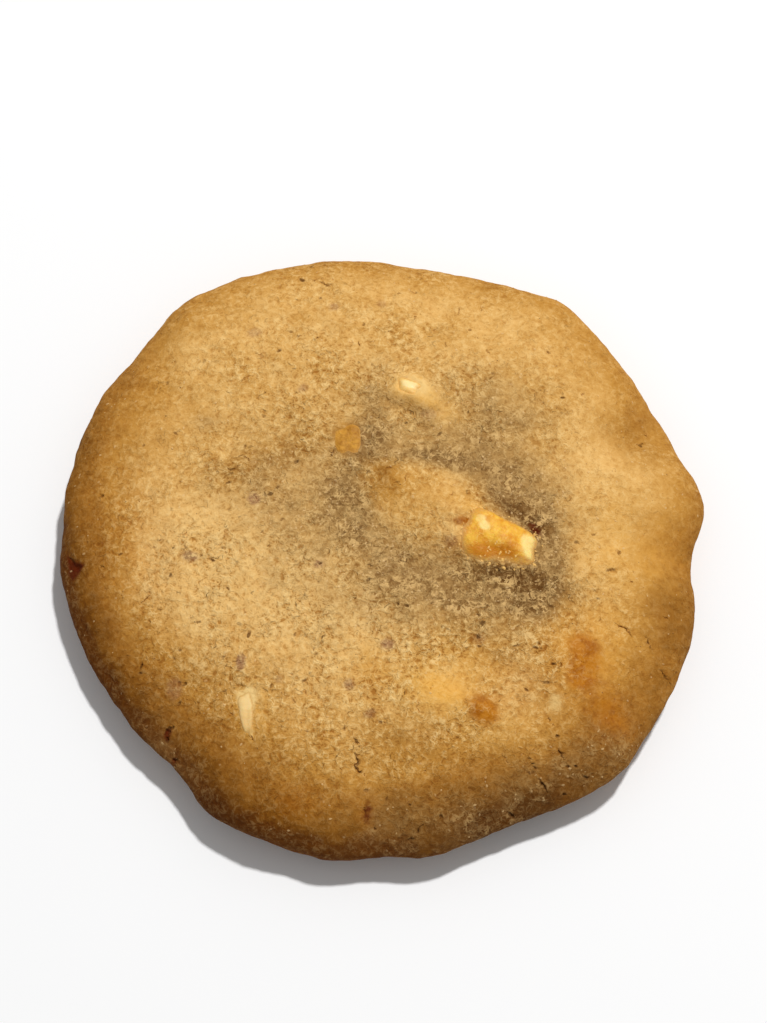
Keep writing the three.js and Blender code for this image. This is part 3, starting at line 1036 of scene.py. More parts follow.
@dataclass(frozen=True)
class GrainFinish:
    """Small pale crumbs baked onto the crust, toned like the crust below them."""

    name: str = "crust_crumb"
    pale: Rgb = (226, 190, 134)
    least: float = 0.0
    most: float = 0.5
    matte: float = 0.75
    gleam: float = 0.15

    def material(self, colour_group: bpy.types.NodeTree) -> bpy.types.Material:
        """Builds the material of the crumbs.

        Args:
            colour_group: The crust's colour group.

        Returns:
            The material.
        """
        material, graph, shader = new_material(self.name)
        crust = graph.group(colour_group)
        share = graph.remap(graph.value_of(BIT_TONE), 0.0, 1.0, self.least, self.most)
        colour = graph.mix(share, crust.outputs["Colour"], screen_colour(self.pale))
        inputs = {"Base Color": colour, "Roughness": self.matte, "Specular IOR Level": self.gleam}
        graph.feed(shader, inputs)
        return material


@dataclass(frozen=True)
class SpeckFinish:
    """Dark specks of burnt sugar and spice."""

    brown: Rgb = (150, 98, 46)
    black: Rgb = (78, 42, 18)
    matte: float = 0.7

    def material(self) -> bpy.types.Material:
        """Builds the material of the specks."""
        material, graph, shader = new_material("spice_speck")
        stops = ((0.0, screen_colour(self.brown)), (1.0, screen_colour(self.black)))
        colour = graph.ramp(graph.value_of(BIT_TONE), stops)
        graph.feed(shader, {"Base Color": colour, "Roughness": self.matte})
        return material


@dataclass(frozen=True)
class MeltFinish:
    """A baked piece of chocolate or toffee: its body, pale and scorched places, and veil."""

    name: str
    body: Rgb
    shade: Rgb
    deep: Rgb
    pale: Rgb
    scorched: Rgb
    veil: Rgb
    roughness: float
    relief: float
    grain: float
    glow: float
    gleam: float = 0.3
    unevenness: tuple[float, float] = (-0.08, 0.15)
    mottle_length: float = 1.6
    mottle_contrast: float = 2.4
    edge_length: float = 0.8
    edge_raggedness: float = 0.5
    curl_light: float = 0.3
    glow_reach: tuple[float, float, float] = (1.0, 0.6, 0.3)

    def material(self) -> bpy.types.Material:
        """Builds the material of the piece."""
        material, graph, shader = new_material(self.name)
        place = graph.millimetres()
        mottle = graph.group(mottle_group(), {"Place": place, "Length": self.mottle_length})
        share = graph.sum(0.5, graph.product(mottle.outputs["Tone"], self.mottle_contrast))
        colour = graph.ramp(share, ((0.0, screen_colour(self.shade)), (1.0, screen_colour(self.body))))
        edge = {"Place": place, "Length": self.edge_length, "Raggedness": self.edge_raggedness}
        tints = (
            (Tint.DEEP_AND_SHADE, self.deep),
            (Tint.PALE_AND_HIGHLIGHT, self.pale),
            (Tint.SCORCHED, self.scorched),
            (Tint.VEIL, self.veil),
        )
        for tint, rgb in tints:
            mask = graph.group(ragged_group(), {"Mask": graph.value_of(tint.value), **edge})
            colour = graph.mix(mask.outputs["Mask"], colour, screen_colour(rgb))
        curls = graph.group(curled_group(), {"Place": place, "Length": self.grain}).outputs
        light = graph.product(graph.remap(curls["Tone"], 0.08, 0.2), self.curl_light)
        low, high = (self.roughness + change for change in self.unevenness)
        inputs = {
            "Base Color": graph.mix(light, colour, screen_colour(self.pale)),
            "Roughness": graph.remap(curls["Height"], -0.15, 0.15, low, high),
            "Normal": graph.bump(curls["Height"], self.relief),
            "Specular IOR Level": self.gleam,
            "Subsurface Weight": self.glow,
            "Subsurface Radius": self.glow_reach,
            "Subsurface Scale": METRES,
        }
        graph.feed(shader, inputs)
        return material


def new_material(name: str) -> tuple[bpy.types.Material, Graph, bpy.types.Node]:
    """Makes a material with only a Principled shader in it.

    Args:
        name: The material's name.

    Returns:
        The material, its graph and its shader node.
    """
    material = bpy.data.materials.new(name)
    material.use_nodes = True
    material.node_tree.nodes.clear()
    graph = Graph(material.node_tree)
    shader = graph.add("ShaderNodeBsdfPrincipled")
    graph.add("ShaderNodeOutputMaterial", {"Surface": shader.outputs[0]})
    return material, graph, shader


# ---- The crust ----


@dataclass(frozen=True)
class RimBrowningAndShade:
    """How far the rim has browned, partly painted shade on its side away from the light, with a line of
    painted shade along a stretch of its outermost part and painted shade under its widest level.
    """

    bakes: tuple[RimBakeAndShade, ...] = (
        RimBakeAndShade(0, 0.46, 0.72),
        RimBakeAndShade(20, 0.34, 0.76),
        RimBakeAndShade(60, 0.25, 0.81),
        RimBakeAndShade(110, 0.27, 0.82),
        RimBakeAndShade(140, 0.38, 0.76),
        RimBakeAndShade(160, 0.55, 0.73),
        RimBakeAndShade(180, 0.68, 0.67),
        RimBakeAndShade(200, 0.68, 0.66),
        RimBakeAndShade(220, 0.70, 0.64),
        RimBakeAndShade(240, 0.72, 0.60),
        RimBakeAndShade(260, 0.70, 0.62),
        RimBakeAndShade(278, 0.70, 0.50),
        RimBakeAndShade(290, 0.72, 0.58),
        RimBakeAndShade(304, 0.68, 0.68),
        RimBakeAndShade(320, 0.56, 0.62),
        RimBakeAndShade(340, 0.50, 0.68),
    )
    # The line is painted shade along the outermost rim on the side away from the light, and the foot is
    # painted shade under the widest level.
    line: float = 0.26
    line_start: float = 0.92
    line_at: float = 225.0
    line_spread: float = 55.0
    foot: float = 0.25

    def amount(self, form: CrustForm, points: np.ndarray) -> np.ndarray:
        """How brown the rim is at each point, between the angles that are given, partly painted shade.

        Args:
            form: The form of the crust.
            points: Rows of x, y and z in millimetres.

        Returns:
            One number for each point, 0 well inside the rim.
        """
        share, angle = form.way_out(points)
        at = [bake.at for bake in self.bakes]
        brown = np.interp(angle, at, [bake.brown for bake in self.bakes], period=360)
        start = np.interp(angle, at, [bake.start for bake in self.bakes], period=360)
        foot = self.foot * smoothstep(points[:, 2], form.widest_level, 0.0)
        off_line = np.abs((angle - self.line_at + 180) % 360 - 180)
        line = self.line * smoothstep(share, self.line_start, 1.0)
        line *= smoothstep(off_line, 1.2 * self.line_spread, 0.6 * self.line_spread)
        return brown * smoothstep(share, start, np.ones_like(start)) + line + foot


@dataclass(frozen=True)
class Hairlines:
    """Short cracks spread over the top, each a few steps of a wandering line, most of them faint.

    Lengths are millimetres, and the bend is in radians. A higher faintness makes more of them faint.
    """

    count: int = 280
    seed: int = 7
    area: float = 0.94
    corners: tuple[int, int] = (2, 5)
    bend: float = 0.8
    step: tuple[float, float] = (0.15, 0.45)
    width: tuple[float, float] = (0.12, 0.2)
    least_depth: float = 0.05
    more_depth: float = 0.22
    faintness: float = 2.5

    def cracks(self, edge_radius: float) -> tuple[Crack, ...]:
        """Draws the cracks within a share of the way to the edge."""
        draw = np.random.RandomState(self.seed)
        lines = []
        for _ in range(self.count):
            reach = self.area * edge_radius * math.sqrt(draw.uniform(0.0, 1.0))
            angle = draw.uniform(0.0, 2 * math.pi)
            place = reach * np.array([math.cos(angle), math.sin(angle)])
            heading = draw.uniform(0.0, 2 * math.pi)
            path = [tuple(place)]
            for _ in range(draw.randint(*self.corners)):
                heading += draw.normal(0.0, self.bend)
                step = draw.uniform(*self.step)
                place = place + step * np.array([math.cos(heading), math.sin(heading)])
                path.append(tuple(place))
            depth = self.least_depth + self.more_depth * draw.uniform(0.0, 1.0) ** self.faintness
            lines.append(Crack(tuple(path), draw.uniform(*self.width), depth))
        return tuple(lines)


# The cracks and pits that are large enough to be placed one by one.
CRACKS: tuple[Crack, ...] = (
    Crack(((14.9, -5.5), (15.8, -5.8), (16.8, -5.6), (18.0, -5.7)), 0.25, 0.35),
    Crack(((-19.4, -25.2), (-18.8, -26.0), (-18.8, -26.9), (-18.4, -27.8)), 0.3, 0.45),
    Crack(((-18.0, -28.4), (-17.8, -28.8), (-17.4, -29.2)), 0.28, 0.4),
    Crack(((-4.0, -29.1), (-3.4, -30.0), (-2.9, -30.6)), 0.28, 0.35),
    Crack(((-3.7, -31.0), (-3.3, -32.3), (-3.7, -32.9), (-2.4, -34.2)), 0.36, 0.5),
    Crack(((-5.4, -27.3), (-5.1, -28.3)), 0.3, 0.3),
    Crack(((21.8, -25.8), (22.4, -26.6), (23.1, -27.4)), 0.22, 0.3),
    Crack(((23.4, -30.1), (23.7, -30.7), (24.3, -31.4)), 0.34, 0.4),
    Crack(((19.7, -31.6), (20.2, -32.7), (20.1, -33.5)), 0.3, 0.4),
    Crack(((20.9, -34.0), (21.4, -34.6), (21.9, -35.6)), 0.32, 0.4),
    Crack(((15.6, -30.8), (16.3, -31.7), (17.0, -32.5)), 0.18, 0.2),
    Crack(((31.6, -13.3), (32.9, -13.7), (33.8, -14.7)), 0.26, 0.35),
    Crack(((35.8, -14.2), (36.0, -15.2), (36.5, -16.3)), 0.22, 0.3),
    Crack(((37.7, -18.6), (38.5, -19.6), (39.3, -20.5)), 0.26, 0.3),
    Crack(((4.5, -23.9), (4.5, -25.0), (4.9, -26.4)), 0.2, 0.2),
    Crack(((-27.5, -0.4), (-26.8, -1.1)), 0.2, 0.2),
    Crack(((-27.0, -1.7), (-27.1, -2.5), (-27.7, -3.1)), 0.2, 0.25),
    Crack(((-31.6, -8.3), (-32.2, -9.4), (-33.4, -10.3)), 0.18, 0.2),
    Crack(((-22.4, 9.4), (-21.0, 8.8), (-19.6, 9.5)), 0.22, 0.25),
    Crack(((-10.6, 39.3), (-9.4, 39.0), (-8.0, 38.0), (-7.0, 38.4)), 0.28, 0.3),
    Crack(((-17.1, 26.7), (-17.3, 25.3)), 0.24, 0.25),
    Crack(((11.0, 34.9), (10.7, 33.3)), 0.2, 0.25),
    Crack(((-7.2, 10.9), (-6.6, 12.3)), 0.28, 0.3),
    Crack(((-11.0, -22.3), (-10.2, -23.2), (-9.4, -23.6)), 0.16, 0.18),
    Crack(((-8.9, -23.6), (-8.4, -24.3), (-7.9, -24.7)), 0.16, 0.18),
)
PITS: tuple[Oval, ...] = ovals(
    (-43.2, -3.2, 1.0, 0.45, -75, 0.3), (-42.4, -4.0, 0.8, 0.4, -20, 0.3),
    (-29.2, -27.0, 0.6, 0.32, 60, 0.5), (-29.3, -28.1, 0.4, 0.25, 80, 0.4),
    (-28.6, -26.6, 0.3, 0.2, 20, 0.3), (-28.3, -30.8, 0.35, 0.25, 0, 0.4),
    (-27.6, -23.5, 0.4, 0.18, 50, 0.3), (-32.9, -18.3, 0.5, 0.18, 78, 0.35),
    (-33.1, -19.3, 0.26, 0.18, 0, 0.3), (-28.4, -17.7, 0.3, 0.15, -60, 0.25),
    (-27.6, -16.7, 0.35, 0.14, 15, 0.2), (-26.9, -21.1, 0.3, 0.18, 40, 0.3),
    (-27.6, -20.9, 0.16, 0.14, 0, 0.2), (-21.6, -18.0, 0.4, 0.16, 45, 0.25),
    (-18.2, -15.0, 0.5, 0.2, 80, 0.4), (-25.1, -13.0, 0.42, 0.16, 5, 0.25),
    (-12.0, -15.1, 0.3, 0.15, 70, 0.25), (-9.4, -17.2, 0.28, 0.13, 85, 0.25),
    (-10.6, -21.4, 0.35, 0.15, 25, 0.25), (-12.3, -20.6, 0.3, 0.12, -20, 0.2),
    (-15.1, -22.1, 0.3, 0.15, 60, 0.25), (-12.0, -24.2, 0.35, 0.13, -45, 0.2),
    (-13.6, -27.6, 0.14, 0.14, 0, 0.2), (-29.1, -6.4, 0.28, 0.2, 80, 0.35),
    (-31.5, -2.3, 0.26, 0.14, -30, 0.2), (-23.4, -4.4, 0.45, 0.18, -35, 0.35),
    (-24.9, -3.8, 0.25, 0.13, 20, 0.2), (-22.0, -2.8, 0.2, 0.15, -20, 0.25),
    (-21.2, -8.5, 0.35, 0.14, -50, 0.3), (-36.1, -3.0, 0.35, 0.14, 15, 0.3),
    (-39.1, 6.0, 0.26, 0.2, 0, 0.3), (-21.3, 6.9, 0.5, 0.16, 20, 0.3), (-13.9, 1.5, 0.3, 0.16, 50, 0.25),
    (-15.6, 5.3, 0.38, 0.24, 20, 0.35), (-14.6, 6.4, 0.22, 0.16, 0, 0.25), (-8.6, -4.9, 0.4, 0.18, 35, 0.3),
    (-29.0, 14.5, 0.35, 0.14, -40, 0.25), (-33.4, 12.9, 0.3, 0.13, 50, 0.25),
    (-30.5, 22.6, 0.3, 0.15, 60, 0.25), (-16.7, 16.7, 0.25, 0.18, 0, 0.25),
    (-19.2, 12.4, 0.28, 0.16, 40, 0.25), (-12.1, 10.2, 0.3, 0.2, 30, 0.3),
    (-14.7, 26.8, 0.35, 0.2, 20, 0.3), (-13.1, 30.0, 0.25, 0.15, 0, 0.25),
    (-11.7, 39.3, 0.45, 0.28, -35, 0.4), (-10.4, 42.0, 0.28, 0.2, 0, 0.3),
    (-9.0, 35.7, 0.22, 0.16, 0, 0.25), (-2.8, 31.1, 0.24, 0.16, 40, 0.25),
    (12.3, 30.6, 0.24, 0.16, 0, 0.25), (7.8, 14.2, 0.45, 0.16, 45, 0.3), (3.2, 15.9, 0.24, 0.16, 0, 0.25),
    (15.4, 23.4, 0.22, 0.18, 0, 0.25), (23.4, 27.2, 0.35, 0.14, -30, 0.25),
    (25.2, 20.1, 0.35, 0.14, 0, 0.3), (28.1, 21.0, 0.26, 0.14, 40, 0.25), (36.2, 14.0, 0.3, 0.2, -30, 0.3),
    (26.5, -1.4, 0.3, 0.22, 0, 0.3), (32.4, -2.8, 0.35, 0.22, 50, 0.3), (31.1, -5.5, 0.7, 0.22, 10, 0.3),
    (28.9, -0.3, 0.3, 0.14, 0, 0.25), (12.9, -12.2, 0.28, 0.18, -20, 0.3),
    (2.0, -10.6, 0.3, 0.16, -40, 0.3), (3.2, -10.9, 0.35, 0.16, -10, 0.3), (-2.0, -7.2, 0.3, 0.2, 40, 0.3),
    (6.6, -10.4, 0.26, 0.18, 60, 0.25), (12.8, -15.3, 0.36, 0.26, -50, 0.35),
    (12.9, -16.6, 0.3, 0.16, 0, 0.3), (18.0, -16.5, 0.5, 0.14, 10, 0.25),
    (20.5, -16.8, 0.4, 0.16, -35, 0.3), (22.9, -19.1, 0.3, 0.18, 10, 0.3),
    (19.2, -22.5, 0.4, 0.16, -35, 0.3), (21.9, -21.6, 0.7, 0.18, -5, 0.3), (4.5, -19.9, 0.3, 0.12, 0, 0.2),
    (23.3, -28.6, 0.26, 0.2, 0, 0.35), (24.8, -32.4, 0.28, 0.18, 0, 0.35),
    (25.8, -32.3, 0.24, 0.18, 0, 0.35), (27.2, -33.6, 0.35, 0.2, -10, 0.35),
    (24.3, -35.7, 0.28, 0.18, 0, 0.35), (17.3, -38.5, 0.6, 0.22, -35, 0.4),
    (-0.4, -27.1, 0.26, 0.2, -20, 0.35), (-2.3, -35.9, 0.28, 0.2, 20, 0.25),
    (-1.1, -40.6, 0.2, 0.18, 0, 0.3), (3.5, -37.8, 0.18, 0.15, 0, 0.25), (3.7, -42.0, 0.4, 0.26, 10, 0.35),
    (4.6, -41.0, 0.35, 0.15, 80, 0.3), (7.7, -39.2, 0.26, 0.18, -40, 0.3), (0.4, -36.9, 0.3, 0.12, 70, 0.2),
)

# Marks that fade out like a bell curve and are added up, each a row of x, y, half length, half
# width, turn and amount.
SOFT_MARKS: dict[Mark, tuple[Oval, ...]] = {
    Mark.BROWNING_AND_SHADE: ovals(
        (-29, 28, 3, 3.6, 42, -0.12), (-31, 18, 4, 3, 50, 0.08), (-14, 12, 3, 1.6, 10, 0.1),
        (35, 17, 4.5, 2.2, 25, 0.08), (0.0, 8.6, 1.5, 1.2, 0, 0.4), (0.6, 5.8, 1.7, 1.3, 0, 0.26),
        (4.8, 5.2, 4.5, 2.2, -22, 0.13), (-20, 8, 3.2, 2.2, 20, 0.2), (-26, -3, 6, 6, 0, -0.22),
        (-15, 0, 9, 9, 0, -0.07), (-33, -14, 4, 6, 20, -0.06), (-8, -11, 9, 5, 0, -0.07),
        (-31, 14, 5, 9, 15, 0.05), (27, -20, 5, 6, 0, 0.08), (-10, -28, 9, 4, 0, 0.05),
        (33, 8, 4, 3, 0, -0.06), (27.5, -4, 2.6, 6, 0, -0.07), (40, 8, 2.4, 4, 0, -0.12),
        (9.8, -0.2, 1.6, 2.2, 0, -0.16), (38.5, -8, 2.6, 3.4, 0, 0.16), (22, -12, 3, 2, 0, 0.22),
        (19, 5, 3.0, 2.2, -30, 0.12), (13, -17.5, 3.4, 2.2, -20, 0.14), (-24.3, -10.5, 1.6, 2.0, 0, -0.22),
        (35, 17, 3.0, 2.2, 25, 0.1), (3, 14, 5, 3, 0, -0.06), (26, 8, 4, 5, 0, -0.04),
        (1.5, -33.5, 4, 1.6, 0, -0.12), (17.5, -20.5, 2.6, 1.6, 20, -0.1), (-12, -7, 5, 4, 0, -0.05),
        (-7, -17, 6, 4, 0, -0.08),
    ),
    Mark.ROUGH: ovals(
        (5.5, 5.0, 6.0, 3.5, -20, -0.3), (34.0, 2.0, 8.0, 14.0, 0, -0.35),
        (27.0, 27.0, 12.0, 7.0, 0, -0.25), (-32.0, 20.0, 8.0, 14.0, 20, -0.2),
        (4.0, -14.0, 16.0, 8.0, 0, 0.15), (-24.3, -10.5, 2.0, 2.4, 0, 0.3),
    ),
    Mark.CREAM: ovals(
        (4.3, 21.1, 1.8, 1.0, -16, 0.9), (6.0, 19.6, 2.4, 1.3, -34, 0.2), (-16.8, -22.8, 0.7, 0.9, 0, 0.3),
    ),
    Mark.DUSK: ovals(
        (4.0, 2.0, 18.0, 12.0, -5, 0.26), (18.2, 4.0, 3.6, 2.2, -35, 0.75), (21.0, 2.0, 1.8, 2.2, 0, 0.4),
        (-2.0, 13.5, 2.6, 2.0, 0, 0.5), (6.0, 10.5, 4.2, 1.3, -3, 0.75), (12.5, 12.0, 4.6, 3.2, -20, 0.45),
        (15.5, 16.8, 2.8, 2.2, 0, 0.55), (14.0, 21.5, 4.0, 2.2, 0, 0.3), (18.5, 8.5, 3.6, 2.6, -40, 0.6),
        (22.6, 0.5, 1.5, 4.0, 5, 0.55), (22.2, -4.6, 1.6, 2.8, -5, 0.9), (20.0, -7.6, 3.4, 2.2, -8, 1.0),
        (20.4, -11.0, 2.4, 2.0, 0, 0.7), (12.6, -8.6, 4.0, 2.2, 0, 0.75), (5.2, -7.2, 4.6, 2.8, 3, 0.7),
        (0.6, -4.0, 3.2, 2.8, 0, 0.5), (-4.0, 1.5, 3.2, 3.4, 0, 0.6), (-4.6, 7.0, 3.0, 3.0, 0, 0.6),
        (-1.2, 18.5, 2.0, 3.6, -5, 0.5), (4.5, 14.5, 3.4, 2.0, 0, 0.3), (-12.5, 4.5, 5.4, 4.4, 20, 0.38),
        (-17.0, 4.6, 2.6, 2.6, 0, 0.15), (-20.0, 8.2, 3.8, 2.4, 20, 0.32), (-9.5, -4.5, 4.6, 4.0, 0, 0.25),
        (20.0, -35.5, 8.0, 2.6, 28, 0.35), (4.0, -39.5, 6.0, 2.2, 0, 0.3),
        (31.0, -30.0, 3.5, 2.2, 50, 0.25), (-29.5, -30.0, 2.4, 4.0, 30, 0.2),
        (1.0, -11.5, 7.0, 2.6, 0, 0.3), (21.0, 17.5, 3.0, 2.6, 0, 0.25), (-24.7, 15.9, 1.4, 1.0, 0, 0.3),
        (14.0, -13.5, 5.0, 2.4, 0, 0.3),
    ),
    # Painted shade: darker places in the hollows round the mound and the chunk, under the chunk, and along
    # the rim's front and left sides.
    Mark.PAINTED_SHADE: ovals(
        (18.6, 2.6, 3.2, 1.2, -34, 1.2), (21.6, 0.6, 1.0, 1.8, 0, 0.4), (20.0, -6.8, 2.6, 1.2, -12, 0.7),
        (16.4, -6.3, 3.2, 1.0, -8, 1.2), (8.2, -5.0, 1.8, 1.0, -30, 0.3), (19.8, -9.8, 2.8, 1.7, 0, 0.8),
        (37.5, -10.5, 1.8, 2.6, 0, 0.35), (14.0, -39.2, 5.0, 1.4, 15, 0.4), (8.0, 10.4, 3.6, 0.9, -6, 0.4),
        (-2.4, 11.2, 1.8, 3.0, 0, 0.5), (-14.5, 10.6, 2.8, 1.5, 10, 0.5),
        (-22.0, -37.0, 3.8, 2.4, -20, 0.5), (-20.0, -29.5, 3.4, 3.0, 0, 0.22),
        (-32.5, -24.5, 2.6, 3.4, 30, 0.3), (17.0, -38.6, 6.0, 2.0, 22, 0.8),
        (24.0, -35.0, 4.0, 2.0, 35, 0.4), (30.0, -27.0, 4.0, 3.0, 40, 0.3),
        (-40.0, -7.0, 2.0, 5.0, 6, 0.35), (-38.5, -15.0, 1.6, 3.0, 12, 0.3), (4.0, -29.0, 4.0, 2.0, 0, 0.2),
        (16.0, -18.0, 3.0, 1.4, -20, 0.25), (-36.0, -20.0, 2.0, 3.0, 20, 0.25),
        (35.6, 13.6, 3.0, 1.6, -40, 0.25),
    ),
    Mark.AMBER: ovals(
        (39.5, -1.0, 3.0, 3.2, 0, 0.2), (-35.0, -2.0, 4.4, 10.0, 8, 0.24),
        (31.4, -27.0, 1.9, 1.8, 30, 0.65), (29.6, -24.4, 2.0, 1.8, -20, 0.5),
        (26.8, -18.6, 3.6, 4.6, 10, 0.5), (16.6, -22.2, 4.4, 3.4, 0, 0.25),
        (-18.0, -24.0, 10.0, 6.0, 0, 0.08), (16.8, -6.7, 2.0, 0.8, -12, 0.45),
        (-2.0, -20.5, 1.8, 1.6, 0, 0.25), (-11.0, -37.3, 3.4, 1.4, 0, 0.3), (-2.3, -39.0, 0.7, 1.0, 0, 0.5),
        (9.9, -2.8, 1.2, 1.4, -20, 0.4),
    ),
    Mark.WAX: ovals(
        (6.4, -22.4, 2.8, 1.9, -12, 0.75), (9.8, -23.4, 2.4, 1.6, 0, 0.6),
        (12.2, -18.6, 3.6, 2.2, -20, 0.4), (31.5, -1.5, 3.4, 4.6, 0, 0.35), (38.5, -3.0, 2.2, 4.0, 0, 0.3),
        (14.5, -27.6, 3.0, 1.2, 10, 0.3), (-1.6, -19.2, 2.0, 1.6, 0, 0.5), (6.6, 18.9, 2.4, 1.3, -34, 0.85),
        (4.2, 20.2, 2.0, 1.3, -24, 0.6), (24.6, -16.5, 2.2, 3.4, -10, 0.5),
        (29.6, -15.8, 2.2, 3.0, -10, 0.5), (29.5, -21.0, 2.6, 2.4, -10, 0.4),
        (-16.4, -25.0, 0.9, 2.4, 8, 0.5), (12.2, 3.0, 1.6, 0.8, -30, 0.5),
    ),
}

# Marks that are even inside and end at an edge.
CRISP_MARKS: dict[Mark, tuple[Oval | Patch, ...]] = {
    Mark.AMBER: (
        Patch(((24.5, -15.8), (26.3, -14.3), (28.5, -15.0), (29.6, -17.0), (29.4, -19.6),
               (28.6, -21.6), (27.0, -22.9), (25.1, -22.4), (24.3, -20.6), (24.8, -18.4)), 1.2, 1.0),
        Patch(((9.3, 0.9), (10.6, 1.6), (12.0, 1.2), (11.6, 0.2), (10.0, 0.0)), 0.4, 0.95),
        Patch(((11.1, -24.0), (13.1, -23.1), (15.1, -24.0), (15.8, -25.7), (15.0, -27.1),
               (13.0, -27.3), (11.5, -25.9)), 1.0, 1.0),
        Oval(23.2, -17.8, 0.8, 1.2, 0, 0.4),
    ),
    Mark.TOFFEE: (
        Patch(((-7.5, 14.4), (-6.6, 15.4), (-4.8, 16.0), (-2.9, 15.7), (-2.3, 14.4), (-2.6, 12.8),
               (-3.2, 11.6), (-4.2, 10.7), (-5.6, 10.6), (-6.1, 12.0), (-6.6, 13.2)), 0.35),
    ),
    Mark.CREAM: (
        Patch(((-19.8, -23.0), (-19.3, -22.4), (-18.9, -22.8), (-18.4, -22.0), (-17.5, -22.1),
               (-17.0, -23.0), (-17.1, -24.2), (-17.5, -25.5), (-18.9, -25.6), (-19.5, -24.6)), 0.22),
        Patch(((-18.9, -25.0), (-17.5, -25.0), (-17.6, -27.0), (-17.5, -28.7), (-18.1, -28.2),
               (-18.5, -27.0)), 0.25, 0.9),
        Patch(((22.6, -23.0), (23.6, -23.2), (23.9, -24.6), (23.0, -25.4), (22.3, -24.6)), 0.35, 0.6),
    ),
    Mark.MAUVE: ovals(
        (0.6, -16.5, 1.0, 0.8, 0, 0.9), (-4.6, -22.0, 0.7, 0.8, 0, 0.75), (-1.8, -26.0, 0.9, 0.6, 20, 0.6),
        (-26.4, -3.9, 1.2, 0.7, -10, 0.9), (-19.2, -18.8, 0.65, 1.1, 0, 1.0),
        (-14.1, -21.2, 0.6, 0.6, 0, 0.4), (-18.2, 29.9, 1.1, 0.7, 20, 0.5), (-17.8, 4.5, 0.9, 0.9, 30, 0.9),
        (-7.0, 34.1, 0.8, 0.7, 0, 0.6), (-0.2, 34.6, 0.7, 0.6, 0, 0.4), (-11.2, 20.8, 0.7, 0.6, 30, 0.6),
        (-8.8, -5.0, 0.7, 0.5, 40, 0.9), (-28.3, -21.6, 1.1, 1.4, 0, 0.5), (6.3, 17.0, 1.2, 0.6, 0, 0.5),
        (9.2, -2.0, 0.9, 0.7, 0, 0.4), (12.8, -15.6, 0.8, 0.8, 0, 0.4),
    ),
    Mark.BURNT: (
        Patch(((-43.9, -2.0), (-42.8, -3.0), (-41.2, -3.9), (-42.0, -4.9), (-42.8, -5.8),
               (-43.6, -4.6)), 0.3),
        Patch(((-2.2, -37.2), (-1.5, -38.0), (-2.0, -40.0), (-2.9, -39.6)), 0.35, 0.8),
        Oval(-29.2, -27.3, 0.8, 0.5, 65, 0.75),
        Oval(-28.4, -30.8, 0.5, 0.35, 50, 0.6),
        Patch(((19.9, 1.3), (20.9, 1.2), (21.8, -0.2), (21.4, -0.9), (20.6, -0.5), (20.1, 0.2)),
              0.3, 1.0),
        Patch(((9.5, 0.7), (10.2, 1.1), (10.9, 0.8), (10.4, 0.3), (9.8, 0.2)), 0.35, 0.45),
    ),
}


